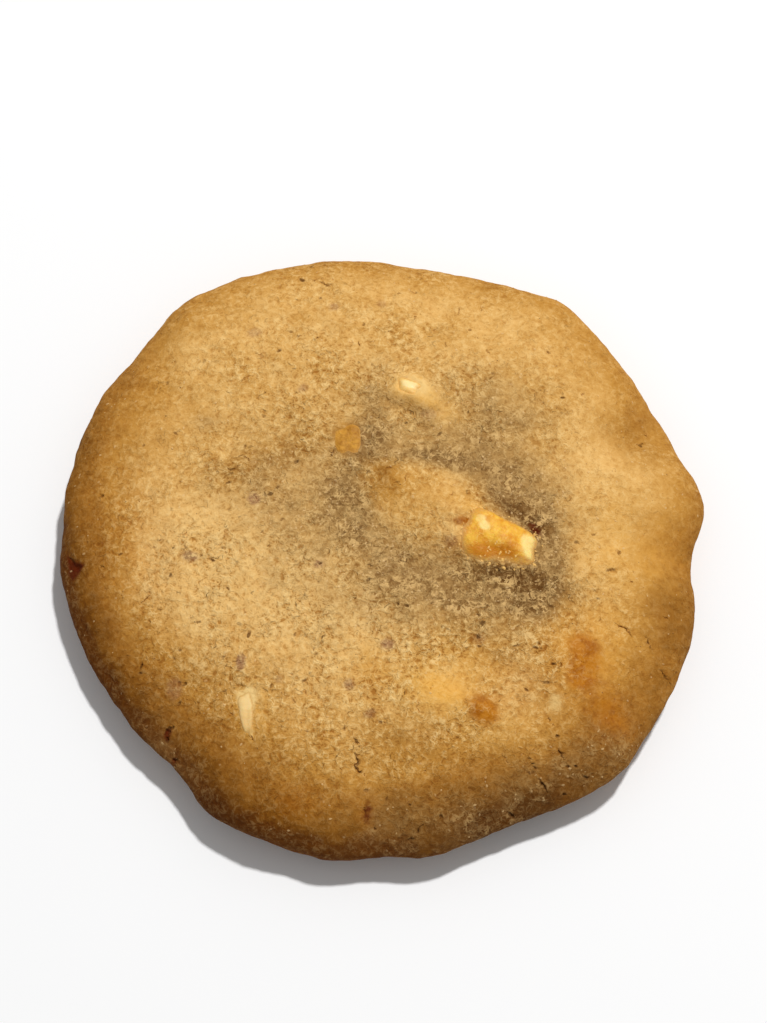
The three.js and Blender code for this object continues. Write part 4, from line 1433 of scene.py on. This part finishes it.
@dataclass
class Crust:
    """The baked dough: its fine mesh, its cracks and pits, and the marks of its baking, painted shade among
    them.

    Lengths and heights are millimetres. An area is a share of a baked piece's own outline. The
    slopes and shadows of cracks and pits are shares of their half width.
    """

    form: CrustForm
    facet: float = 0.42
    base_facet: float = 1.6
    fine_facet: float = 0.169
    fine_reach: float = 0.4
    fine_at_pocket: float = 0.2
    split_rounds: int = 2
    unevenness: tuple[tuple[float, float], ...] = ((5.0, 0.22), (2.4, 0.14), (1.1, 0.08))
    uneven_from: float = 0.3
    rim: RimBrowningAndShade = RimBrowningAndShade()
    cracks: tuple[Crack, ...] = CRACKS
    pits: tuple[Oval, ...] = PITS
    hairlines: Hairlines = Hairlines()
    mound: Oval = Oval(6.5, 3.9, 9.6, 5.2, -25)
    middle_bake: float = 0.17
    rim_calm: float = 0.35
    rim_calm_from: tuple[float, float] = (0.55, 0.9)
    speck_heights: tuple[float, float] = (1.5, 3.5)
    grain_heights: tuple[float, float] = (4.0, 9.0)
    grain_hidden: float = 0.85
    grain_least: float = 0.1
    lip_reach: float = 0.7
    dark_depth: float = 0.42
    pit_raggedness: float = 0.5
    pit_grain: float = 0.35
    pit_slope: tuple[float, float] = (1.4, 0.2)
    pit_shadow: tuple[float, float] = (1.4, 0.5)
    crack_slope: float = 1.5
    crack_shadow: tuple[float, float] = (1.3, 0.2)
    crack_width: tuple[float, float] = (0.8, 0.7)
    crack_wander: float = 0.3
    crack_grain: float = 0.5
    crack_layers: tuple[float, float, float] = (3.0, 8.0, 13.0)
    crack_end: float = 0.06
    crack_taper: float = 0.6
    crack_margin: float = 1.0
    hug_area: float = 1.8
    hug_climb: float = 0.35
    halo_area: float = 2.2
    pocket_growth: float = -0.02
    sharp_from: float = 50.0

    def blank(self) -> tuple[np.ndarray, np.ndarray]:
        """The smooth crust before it cracks.

        Returns:
            Its points in millimetres and its triangles.
        """
        mesh = RingMesh()
        form = self.form
        rings = []
        for radius, height, out, up in zip(*form.outline(self.facet)):
            count = max(6, round(2 * math.pi * radius / self.facet)) if radius > 0 else 1
            angle = np.linspace(0.0, 2 * math.pi, count, endpoint=False)
            spread = [np.full(count, value) for value in (radius, height, out, up)]
            rings.append(mesh.add_ring(form.points(*spread, angle)))
        foot = form.edge_radius - form.foot_inset
        steps = round(foot / self.base_facet)
        under = [rings[-1]]
        for step in range(1, steps + 1):
            share = 1 - step / steps
            count = 1 if step == steps else max(6, round(2 * math.pi * share * foot / self.base_facet))
            angle = np.linspace(0.0, 2 * math.pi, count, endpoint=False)
            reach = share * foot * form.edge(angle) / form.edge_radius
            flat = np.column_stack([reach * np.cos(angle), reach * np.sin(angle), np.zeros(count)])
            under.append(mesh.add_ring(flat + np.array([*form.plan_centre, 0.0])))
        for inner, outer in zip(rings[:-1], rings[1:]):
            mesh.zip_rings(inner, outer)
        for outer, inner in zip(under[:-1], under[1:]):
            mesh.zip_rings(inner, outer, facing_down=True)
        return np.concatenate(mesh.points), np.array(mesh.triangles)

    def grooves(self, points: np.ndarray) -> tuple[np.ndarray, np.ndarray, np.ndarray]:
        """How deep the cracks and pits go.

        Args:
            points: Rows of x, y and z in millimetres.

        Returns:
            For each point the depth in millimetres, how dark the crack makes it, and the
            distance in millimetres to the nearest crack or pit.
        """
        depth = np.zeros(len(points))
        dark = np.zeros(len(points))
        nearest = np.full(len(points), np.inf)
        on_top = points[:, 2] > self.form.waves_from
        least, more = self.crack_width
        dark_from, dark_to = self.crack_shadow
        for crack in self.cracks + self.hairlines.cracks(self.form.edge_radius):
            low = np.min(crack.path, axis=0) - self.crack_margin
            high = np.max(crack.path, axis=0) + self.crack_margin
            near = np.flatnonzero(on_top & np.all((points[:, :2] > low) & (points[:, :2] < high), axis=1))
            spots = points[near]
            layers = [soft_noise(spots, self.crack_grain, offset) for offset in self.crack_layers]
            wander = np.column_stack(layers)
            away, share = crack.distance(spots + self.crack_wander * wander)
            inner = np.clip(share, self.crack_end, 1 - self.crack_end)
            gape = np.sin(math.pi * inner) ** self.crack_taper
            half = 0.5 * crack.wide * gape * (least + more * wander[:, 2])
            groove = crack.deep * gape * smoothstep(away, half * self.crack_slope, 0.0)
            shadow = smoothstep(away, half * dark_from, half * dark_to)
            depth[near] = np.maximum(depth[near], groove)
            dark[near] = np.maximum(dark[near], min(1.0, crack.deep / self.dark_depth) * shadow)
            nearest[near] = np.minimum(nearest[near], away)
        for pit in self.pits:
            near = np.flatnonzero(np.hypot(points[:, 0] - pit.x, points[:, 1] - pit.y) < 3 * pit.long)
            ragged = self.pit_raggedness * soft_noise(points[near], self.pit_grain)
            away = pit.distance(points[near]) + ragged
            shadow = smoothstep(away, *self.pit_shadow)
            depth[near] = np.maximum(depth[near], pit.amount * smoothstep(away, *self.pit_slope))
            dark[near] = np.maximum(dark[near], min(1.0, pit.amount / self.dark_depth) * shadow)
            nearest[near] = np.minimum(nearest[near], np.maximum(away - 1.0, 0.0) * pit.wide)
        return depth, dark, nearest

    def build(self, pieces: list["BakedPiece"]) -> bpy.types.Object:
        """Makes the crust's object, with a pocket for each baked piece.

        Args:
            pieces: The pieces that are baked into the top.

        Returns:
            The crust.
        """
        points, triangles = self.blank()
        for _ in range(self.split_rounds):
            nearest = self.grooves(points)[2]
            for piece in pieces:
                from_edge = np.abs(piece.oval().distance(points) - 1.0) * piece.wide
                nearest = np.minimum(nearest, from_edge + self.fine_at_pocket)
            wanted = np.where(nearest < self.fine_reach, self.fine_facet, 2 * self.base_facet)
            points, triangles = split_long_edges(points, triangles, wanted)
        normals = point_normals(points, triangles)
        lift = sum(
            depth * soft_noise(points, length, 11.0 * layer)
            for layer, (length, depth) in enumerate(self.unevenness)
        )
        lift *= smoothstep(points[:, 2], self.uneven_from, self.form.waves_from)
        points = points + (lift - self.grooves(points)[0])[:, None] * normals
        for piece in pieces:
            self.hug(points, piece)
        points[:, 2] = np.maximum(points[:, 2], 0.0)
        crust = new_piece("dough_crust", points, triangles)
        for piece in pieces:
            self.cut_pocket(crust, piece)
        crust.data.set_sharp_from_angle(angle=math.radians(self.sharp_from))
        self.keep_marks(crust, pieces)
        return crust

    @staticmethod
    def dress(crust: bpy.types.Object, colour_group: bpy.types.NodeTree) -> None:
        """Gives the crust its material and puts it in the place of the dough's node."""
        crust.data.materials.clear()
        crust.data.materials.append(DoughFinish().material(colour_group))
        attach(crust, BODY)
        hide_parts("dough")

    def hug(self, points: np.ndarray, piece: "BakedPiece") -> None:
        """Lets the crust climb softly up the sides of a baked piece, and over it at its lips.

        Args:
            points: The crust's points in millimetres, which are moved.
            piece: The piece.
        """
        beside = piece.oval().distance(points) < self.hug_area
        near = np.flatnonzero(beside & (points[:, 2] > self.form.widest_level))
        points[near, 2] += sum((lip.soft(points[near]) for lip in piece.lips), np.zeros(len(near)))
        blend = np.maximum(piece.hug - piece.reach(points[near]), 0.0) / piece.hug
        points[near, 2] += self.hug_climb * piece.hug * blend**2

    def cut_pocket(self, crust: bpy.types.Object, piece: "BakedPiece") -> None:
        """Cuts the place of a baked piece out of the crust."""
        cutter = new_piece("pocket", *piece.shape(self.pocket_growth))
        modifier = crust.modifiers.new("pocket", "BOOLEAN")
        modifier.operation = "DIFFERENCE"
        modifier.solver = "MANIFOLD"
        modifier.object = cutter
        mesh = evaluated_mesh(crust)
        crust.modifiers.clear()
        crust.data = mesh
        bpy.data.objects.remove(cutter)

    def keep_marks(self, crust: bpy.types.Object, pieces: list["BakedPiece"]) -> None:
        """Works out every mark of the baking, painted shade among them, and keeps it on the crust's mesh.

        Args:
            crust: The crust.
            pieces: The baked pieces, which tint the crust round them.
        """
        mesh = crust.data
        points = points_of(mesh)
        kept = {}
        for mark in Mark:
            amount = sum((oval.soft(points) for oval in SOFT_MARKS.get(mark, ())), np.zeros(len(points)))
            for shape in CRISP_MARKS.get(mark, ()):
                amount = np.maximum(amount, shape.crisp(points))
            kept[mark] = amount
        for piece in pieces:
            near = np.flatnonzero(piece.oval().distance(points) < self.halo_area)
            away = piece.reach(points[near])
            halo = piece.halo * smoothstep(away, piece.halo_width, 0.0)
            kept[Mark.WAX][near] = np.maximum(kept[Mark.WAX][near], halo)
            lip = piece.crumbs * smoothstep(away, self.lip_reach, 0.0)
            kept[Mark.LIP][near] = np.maximum(kept[Mark.LIP][near], lip)
        # The rim's amount is partly painted shade.
        kept[Mark.BROWNING_AND_SHADE] += self.middle_bake + self.rim.amount(self.form, points)
        kept[Mark.DUSK] = np.minimum(kept[Mark.DUSK], 1.0) * (1 - self.mound.crisp(points))
        share = self.form.way_out(points)[0]
        kept[Mark.ROUGH] += 1.0 - self.rim_calm * smoothstep(share, *self.rim_calm_from)
        kept[Mark.CRACK] = self.grooves(points)[1]
        kept[Mark.SPECK] = smoothstep(points[:, 2], *self.speck_heights)
        bare = np.maximum(np.maximum(kept[Mark.AMBER], kept[Mark.WAX]), kept[Mark.TOFFEE])
        kept[Mark.GRAIN] = (1 - self.grain_hidden * bare) * smoothstep(points[:, 2], *self.grain_heights)
        kept[Mark.GRAIN] *= self.grain_least + kept[Mark.DUSK]
        for mark, amount in kept.items():
            keep_values(mesh, mark.value, np.clip(amount, 0.0, 2.0))


# ---- Baked pieces ----


@dataclass
class BakedPiece:
    """A piece of chocolate or toffee baked into the top, as an uneven lump."""

    node: str
    slot: str
    finish: MeltFinish
    x: float
    y: float
    long: float
    wide: float
    tall: float
    turn: float
    taper: float
    square: float
    roll: float = 0.0
    tilt: float = 0.0
    marks: dict[Tint, tuple[Oval | Patch, ...]] = field(default_factory=dict)
    lips: tuple[Oval, ...] = ()
    hug: float = 0.3
    halo: float = 0.0
    halo_width: float = 1.2
    veil_width: float = 0.2
    crumbs: float = 0.0
    roughness: float = 0.1
    rough_length: float = 1.5
    dents: tuple[float, float] = (0.04, 0.03)
    rounds: int = 5

    def oval(self) -> Oval:
        """The piece's outline from above."""
        return Oval(self.x, self.y, self.long, self.wide, self.turn)

    def shape(self, grow: float = 0.0) -> tuple[np.ndarray, np.ndarray]:
        """The piece's form, set in the middle of its node's box.

        Args:
            grow: How much larger it is made all round, in millimetres.

        Returns:
            Its points in millimetres and its triangles.
        """
        ball = bpy.data.meshes.new("ball")
        work = bmesh.new()
        bmesh.ops.create_icosphere(work, subdivisions=self.rounds, radius=1.0)
        work.to_mesh(ball)
        work.free()
        unit = points_of(ball) * METRES
        triangles = np.array([polygon.vertices[:] for polygon in ball.polygons])
        bpy.data.meshes.remove(ball)
        total = np.sum(np.abs(unit) ** self.square, axis=1)
        px, py, pz = unit.T
        broad, small = self.dents
        dents = 1 + broad * np.sin(4 * px + 5 * py + self.long) + small * np.sin(7 * py - 3 * pz + self.wide)
        unit = unit * (dents / total ** (1 / self.square))[:, None]
        girth = 1 + self.taper * unit[:, 0]
        place = unit * (np.array([self.long, self.wide, self.tall]) + grow)
        place[:, 1] *= girth
        turned = (
            Matrix.Rotation(math.radians(self.turn), 3, "Z")
            @ Matrix.Rotation(math.radians(self.tilt), 3, "Y")
            @ Matrix.Rotation(math.radians(self.roll), 3, "X")
        )
        place = place @ np.array(turned).T
        low, high = (np.array(corner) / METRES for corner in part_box(self.node))
        place += 0.5 * (low + high) - 0.5 * (place.min(axis=0) + place.max(axis=0))
        return place, triangles

    def reach(self, points: np.ndarray) -> np.ndarray:
        """How far points lie from the piece's surface, in millimetres."""
        tree = BVHTree.FromPolygons(*(rows.tolist() for rows in self.shape()))
        return np.fromiter((tree.find_nearest(Vector(place))[3] for place in points), float, len(points))

    def build(self, crust: bpy.types.Object) -> bpy.types.Object:
        """Makes the piece's object in place of its node.

        Args:
            crust: The finished crust, which tints the piece where the two meet.

        Returns:
            The piece.
        """
        points, triangles = self.shape()
        normals = point_normals(points, triangles)
        fine = soft_noise(points, 0.4 * self.rough_length, 5.0)
        lift = self.roughness * (soft_noise(points, self.rough_length, 3.0) + 0.5 * fine)
        points = points + lift[:, None] * normals
        piece = new_piece(self.node + "_baked", points, triangles)
        for tint in Tint:
            amount = np.zeros(len(points))
            for shape in self.marks.get(tint, ()):
                amount = np.maximum(amount, shape.crisp(points))
            if tint is Tint.VEIL:
                ground = BVHTree.FromObject(crust, bpy.context.evaluated_depsgraph_get())
                nearest = (ground.find_nearest(Vector(place * METRES))[3] / METRES for place in points)
                away = np.fromiter(nearest, float, len(points))
                amount = np.maximum(amount, smoothstep(away, self.veil_width, 0.0))
            keep_values(piece.data, tint.value, amount)
        piece.data.materials.append(self.finish.material())
        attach(piece, BODY)
        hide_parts(self.node)
        return piece


CARAMELISED = MeltFinish(
    name="caramelised_white_chocolate",
    body=(246, 190, 62),
    shade=(222, 150, 30),
    # deep: the lower face's amber, partly painted shade.
    deep=(202, 124, 8),
    # pale: the pale tip, and the painted highlights.
    pale=(252, 220, 134),
    scorched=(160, 92, 20),
    veil=(210, 156, 80),
    roughness=0.46,
    relief=0.2,
    grain=0.9,
    glow=0.25,
    gleam=0.3,
)
IVORY = MeltFinish(
    name="white_chocolate_chip",
    body=(248, 208, 128),
    shade=(240, 194, 110),
    deep=(216, 166, 90),
    pale=(253, 224, 156),
    scorched=(190, 130, 56),
    veil=(230, 178, 94),
    roughness=0.5,
    relief=0.06,
    grain=0.9,
    glow=0.2,
)
TOFFEE = MeltFinish(
    name="ridged_toffee",
    body=(210, 150, 54),
    shade=(170, 112, 30),
    deep=(160, 104, 34),
    pale=(216, 162, 76),
    scorched=(140, 88, 30),
    veil=(196, 140, 60),
    roughness=0.5,
    relief=0.25,
    grain=0.8,
    glow=0.05,
    gleam=0.2,
)
CREAM = MeltFinish(
    name="white_chocolate_flake",
    body=(247, 212, 146),
    shade=(241, 202, 134),
    deep=(234, 192, 122),
    pale=(248, 218, 156),
    scorched=(196, 150, 84),
    veil=(214, 166, 92),
    roughness=0.55,
    relief=0.06,
    grain=0.8,
    glow=0.15,
    gleam=0.2,
)


def baked_pieces() -> list[BakedPiece]:
    """The chunk, the chip, the toffee and the flake, with their marks."""
    chunk = BakedPiece(
        node="white_chocolate_chunk",
        slot="caramelised_chocolate",
        finish=CARAMELISED,
        x=15.5,
        y=-1.7,
        long=6.4,
        wide=3.8,
        tall=2.5,
        turn=-21,
        taper=-0.08,
        square=2.5,
        roll=11,
        tilt=9,
        marks={
            Tint.DEEP_AND_SHADE: (
                # The lower face, which faces away from the light: deeper amber, partly painted shade.
                Patch(((11.6, -2.8), (14.5, -2.4), (17.6, -2.2), (18.4, -4.0), (15.5, -5.0),
                       (11.8, -4.4)), 0.9),
                Patch(((9.9, 0.9), (11.8, 1.2), (12.4, 0.6), (11.6, 0.0), (10.0, 0.1)), 0.4, 0.8),
            ),
            # The pale tip is the chocolate's own colour; the small ovals by (13.8, 0.1) and (13.3, 1.1) are
            # painted highlights.
            Tint.PALE_AND_HIGHLIGHT: ovals(
                (20.2, -2.7, 1.3, 1.9, 15), (13.8, 0.1, 0.8, 0.6, -40), (13.3, 1.1, 0.7, 0.6, 0, 0.6),
            ),
            Tint.SCORCHED: ovals((10.0, 0.4, 0.5, 0.3, 10, 0.7)),
            Tint.VEIL: (
                Patch(((8.0, 1.4), (12.0, 3.6), (15.0, 3.2), (14.6, 2.4), (12.4, 1.9), (10.4, 1.3),
                       (9.4, 0.4), (10.6, -0.8), (11.4, -2.4), (10.6, -3.6), (8.0, -3.0)), 0.9, 0.85),
                Oval(19.8, -5.0, 1.8, 0.8, -20, 0.7),
            ),
        },
        lips=ovals(
            (11.0, 2.7, 2.0, 0.9, 20, 0.7), (14.6, 3.6, 2.2, 0.8, -25, 0.3),
            (9.6, -1.6, 1.0, 2.0, -10, 0.8),
        ),
        hug=1.3,
        halo=0.15,
        veil_width=0.9,
        crumbs=0.6,
        roughness=0.05,
        rounds=6,
    )
    chip = BakedPiece(
        node="white_chocolate_chip",
        slot="white_chocolate",
        finish=IVORY,
        x=3.9,
        y=20.7,
        long=2.6,
        wide=1.7,
        tall=1.8,
        turn=-24,
        taper=-0.15,
        square=2.3,
        tilt=-6,
        marks={
            Tint.PALE_AND_HIGHLIGHT: ovals((3.9, 21.2, 1.3, 0.7, -14)),
            Tint.VEIL: ovals((5.8, 19.6, 1.2, 1.4, -24, 0.6)),
        },
        lips=ovals((6.2, 19.3, 1.4, 1.3, -30, 0.7), (3.4, 19.1, 2.0, 0.7, -24, 0.5)),
        hug=1.7,
        halo=0.85,
        veil_width=0.75,
        roughness=0.03,
    )
    toffee = BakedPiece(
        node="toffee_bit",
        slot="toffee",
        finish=TOFFEE,
        x=-4.8,
        y=13.3,
        long=2.6,
        wide=2.4,
        tall=1.1,
        turn=-85,
        taper=-0.3,
        square=3.0,
        tilt=-2,
        marks={Tint.SCORCHED: ovals((-3.2, 14.6, 0.5, 0.6, 0, 0.3))},
        hug=0.4,
        roughness=0.08,
    )
    flake = BakedPiece(
        node="white_chocolate_flake",
        slot="white_chocolate",
        finish=CREAM,
        x=-18.2,
        y=-25.4,
        long=3.5,
        wide=1.25,
        tall=0.9,
        turn=-84,
        taper=-0.5,
        square=2.6,
        roll=9,
        tilt=6,
        marks={
            Tint.DEEP_AND_SHADE: (Patch(((-19.4, -25.2), (-16.8, -25.2), (-16.8, -29.4), (-19.2, -29.4)), 1.0),),
            Tint.VEIL: ovals((-17.7, -28.6, 0.8, 1.0, 0, 0.8)),
        },
        hug=0.35,
        halo=0.5,
        halo_width=0.8,
        veil_width=0.35,
        roughness=0.05,
    )
    return [chunk, chip, toffee, flake]


# ---- Scattered bits ----


@dataclass(frozen=True)
class Bits:
    """Small flat bits of one kind, scattered over a piece. Lengths are millimetres.

    The guide is the kept mark that says how thickly they lie. Each bit is between the least
    share of its size and the whole of it, and sunk by a share of its height.
    """

    name: str
    guide: Mark | Tint
    per_square_mm: float
    long: float
    wide: float
    tall: float
    least: float
    sunk: float
    seed: int

    def build(
        self, ground: bpy.types.Object, tree: bpy.types.NodeTree, material: bpy.types.Material
    ) -> bpy.types.Object:
        """Scatters the bits and turns them into one plain mesh.

        Args:
            ground: The piece that they lie on.
            tree: The scatter's node tree.
            material: The bits' material.

        Returns:
            The piece with all the bits.
        """
        piece = bpy.data.objects.new(self.name, ground.data.copy())
        bpy.context.scene.collection.objects.link(piece)
        modifier = piece.modifiers.new("scatter", "NODES")
        modifier.node_group = tree
        values = {
            "Per square metre": self.per_square_mm / METRES**2,
            "Guide": self.guide.value,
            "Length": self.long * METRES,
            "Width": self.wide * METRES,
            "Height": self.tall * METRES,
            "Least size": self.least,
            "Sunk": self.sunk,
            "Seed": self.seed,
            "Finish": material,
        }
        for item in tree.interface.items_tree:
            if item.item_type == "SOCKET" and item.in_out == "INPUT" and item.name in values:
                modifier[item.identifier] = values[item.name]
        mesh = evaluated_mesh(piece)
        piece.modifiers.clear()
        piece.data = mesh
        mesh.name = self.name
        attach(piece, BODY)
        return piece


def scatter_tree() -> bpy.types.NodeTree:
    """Builds the tree that scatters small, flat, angular bits over a piece."""
    tree, graph, start, end = new_group(
        "scatter_bits",
        "GeometryNodeTree",
        (
            SocketPlan("Ground", "NodeSocketGeometry"),
            SocketPlan("Per square metre", FLOAT, 1e6),
            SocketPlan("Guide", "NodeSocketString", "grain"),
            SocketPlan("Length", FLOAT, 0.0004),
            SocketPlan("Width", FLOAT, 0.0003),
            SocketPlan("Height", FLOAT, 0.0002),
            SocketPlan("Least size", FLOAT, 0.5),
            SocketPlan("Sunk", FLOAT, 0.2),
            SocketPlan("Seed", "NodeSocketInt", 0),
            SocketPlan("Finish", "NodeSocketMaterial"),
        ),
        (SocketPlan("Bits", "NodeSocketGeometry"),),
    )
    given = start.outputs
    guide = graph.add("GeometryNodeInputNamedAttribute", {"Name": given["Guide"]}, data_type="FLOAT")
    density = graph.product(guide.outputs[0], given["Per square metre"])
    inputs = {"Mesh": given["Ground"], "Density": density, "Seed": given["Seed"]}
    places = graph.add("GeometryNodeDistributePointsOnFaces", inputs)
    lean = 0.4
    inputs = {"Min": (-lean, -lean, 0.0), "Max": (lean, lean, 2 * math.pi), "Seed": given["Seed"]}
    turn = graph.add("FunctionNodeRandomValue", inputs, data_type="FLOAT_VECTOR")
    turn = graph.add("FunctionNodeEulerToRotation", {0: turn.outputs[0]})
    inputs = {"Rotation": places.outputs["Rotation"], "Rotate By": turn.outputs[0]}
    rotation = graph.add("FunctionNodeRotateRotation", inputs, rotation_space="LOCAL")
    size = graph.add("FunctionNodeRandomValue", {2: given["Least size"], 3: 1.0, "Seed": given["Seed"]})
    box = {"X": given["Length"], "Y": given["Width"], "Z": given["Height"]}
    bit = graph.add("GeometryNodeMeshIcoSphere", {"Radius": 0.5, "Subdivisions": 1})
    inputs = {"Geometry": bit.outputs[0], "Scale": graph.add("ShaderNodeCombineXYZ", box).outputs[0]}
    bit = graph.add("GeometryNodeTransform", inputs)
    inputs = {
        "Points": places.outputs["Points"],
        "Instance": bit.outputs[0],
        "Rotation": rotation.outputs[0],
        "Scale": size.outputs[1],
    }
    bits = graph.add("GeometryNodeInstanceOnPoints", inputs)
    drop = graph.product(given["Height"], given["Sunk"], -1.0)
    down = graph.add("ShaderNodeCombineXYZ", {"Z": drop}).outputs[0]
    inputs = {"Instances": bits.outputs[0], "Translation": down}
    bits = graph.add("GeometryNodeTranslateInstances", inputs)
    next_seed = graph.sum(given["Seed"], 1.0)
    tone = graph.add("FunctionNodeRandomValue", {2: 0.0, 3: 1.0, "Seed": next_seed})
    inputs = {"Geometry": bits.outputs[0], "Name": BIT_TONE, "Value": tone.outputs[1]}
    bits = graph.add("GeometryNodeStoreNamedAttribute", inputs, data_type="FLOAT", domain="INSTANCE")
    solid = graph.add("GeometryNodeRealizeInstances", {"Geometry": bits.outputs[0]})
    inputs = {"Geometry": solid.outputs[0], "Material": given["Finish"]}
    graph.feed(end, {"Bits": graph.add("GeometryNodeSetMaterial", inputs).outputs[0]})
    return tree


CRUST_GRAINS = Bits(
    "crust_grains", Mark.GRAIN, 1.0, long=0.7, wide=0.5, tall=0.2, least=0.35, sunk=0.3, seed=3
)
LIP_CRUMBS = Bits(
    "lip_crumbs", Mark.LIP, 5.0, long=0.8, wide=0.55, tall=0.4, least=0.3, sunk=0.1, seed=21
)
SPICE_SPECKS = Bits(
    "spice_specks", Mark.SPECK, 0.05, long=0.24, wide=0.15, tall=0.1, least=0.4, sunk=0.2, seed=9
)
CHUNK_CRUMBS = Bits(
    "chunk_crumbs", Tint.DEEP_AND_SHADE, 0.9, long=0.7, wide=0.4, tall=0.35, least=0.4, sunk=0.25, seed=5
)


# ---- Studio ----


@dataclass(frozen=True)
class Studio:
    """The pale floor, the soft light and the camera. Lengths are metres."""

    aim: tuple[float, float, float] = (0.00003, 0.00533, 0.006)
    distance: float = 0.34
    elevation: float = 70.0
    lens: float = 85.0
    key_way: tuple[float, float, float] = (0.233, 0.333, 0.914)
    key_distance: float = 1.3
    key_size: float = 0.09
    key_power: float = 12.9
    fill: float = 0.345
    floor_size: float = 3.0
    floor_white: float = 0.95

    def build(self) -> None:
        """Makes the floor, the light, the world and the camera."""
        scene = bpy.context.scene
        scene.view_settings.view_transform = "Standard"
        half = self.floor_size / 2
        corners = [(-half, -half, 0), (half, -half, 0), (half, half, 0), (-half, half, 0)]
        mesh = bpy.data.meshes.new("floor")
        mesh.from_pydata(corners, [], [(0, 1, 2, 3)])
        floor = bpy.data.objects.new("floor", mesh)
        scene.collection.objects.link(floor)
        material, graph, shader = new_material("pale_floor")
        white = (self.floor_white, self.floor_white, self.floor_white, 1.0)
        graph.feed(shader, {"Base Color": white, "Roughness": 1.0, "Specular IOR Level": 0.0})
        mesh.materials.append(material)

        lamp = bpy.data.lights.new("key", "AREA")
        lamp.shape = "DISK"
        lamp.size = self.key_size
        lamp.energy = self.key_power
        key = bpy.data.objects.new("key", lamp)
        key.location = Vector(self.key_way) * self.key_distance
        key.rotation_euler = Vector(self.key_way).to_track_quat("Z", "Y").to_euler()
        scene.collection.objects.link(key)

        world = bpy.data.worlds.new("studio")
        world.use_nodes = True
        sky = world.node_tree.nodes["Background"].inputs
        sky["Color"].default_value = (1, 1, 1, 1)
        sky["Strength"].default_value = self.fill
        scene.world = world

        view = bpy.data.cameras.new("camera")
        view.lens = self.lens
        view.clip_start = 0.01
        camera = bpy.data.objects.new("camera", view)
        tip = math.radians(self.elevation)
        back = Vector((0, -math.cos(tip), math.sin(tip)))
        camera.location = Vector(self.aim) + self.distance * back
        camera.rotation_euler = (math.radians(90 - self.elevation), 0, 0)
        scene.collection.objects.link(camera)
        scene.camera = camera


def report(piece: bpy.types.Object) -> None:
    """Logs a piece's name and how many triangles it has."""
    log.info("%s: %d triangles", piece.name, len(piece.data.polygons))


def main() -> None:
    """Builds the studio and the cookie in order, and reports each piece."""
    logging.basicConfig(level=logging.INFO, format="%(message)s")
    Studio().build()
    colours = CrustColours().group()
    plans = baked_pieces()
    cookie = Crust(CrustForm())
    crust = cookie.build(plans)
    cookie.dress(crust, colours)
    report(crust)
    pieces = [plan.build(crust) for plan in plans]
    for piece in pieces:
        report(piece)

    tree = scatter_tree()
    crumb = GrainFinish().material(colours)
    golden = GrainFinish("golden_crumb", (242, 194, 112), 0.3, 0.95).material(colours)
    scattered = (
        (CRUST_GRAINS, crust, crumb),
        (LIP_CRUMBS, crust, golden),
        (SPICE_SPECKS, crust, SpeckFinish().material()),
        (CHUNK_CRUMBS, pieces[0], golden),
    )
    for bits, ground, material in scattered:
        report(bits.build(ground, tree, material))


if __name__ == "__main__":
    main()
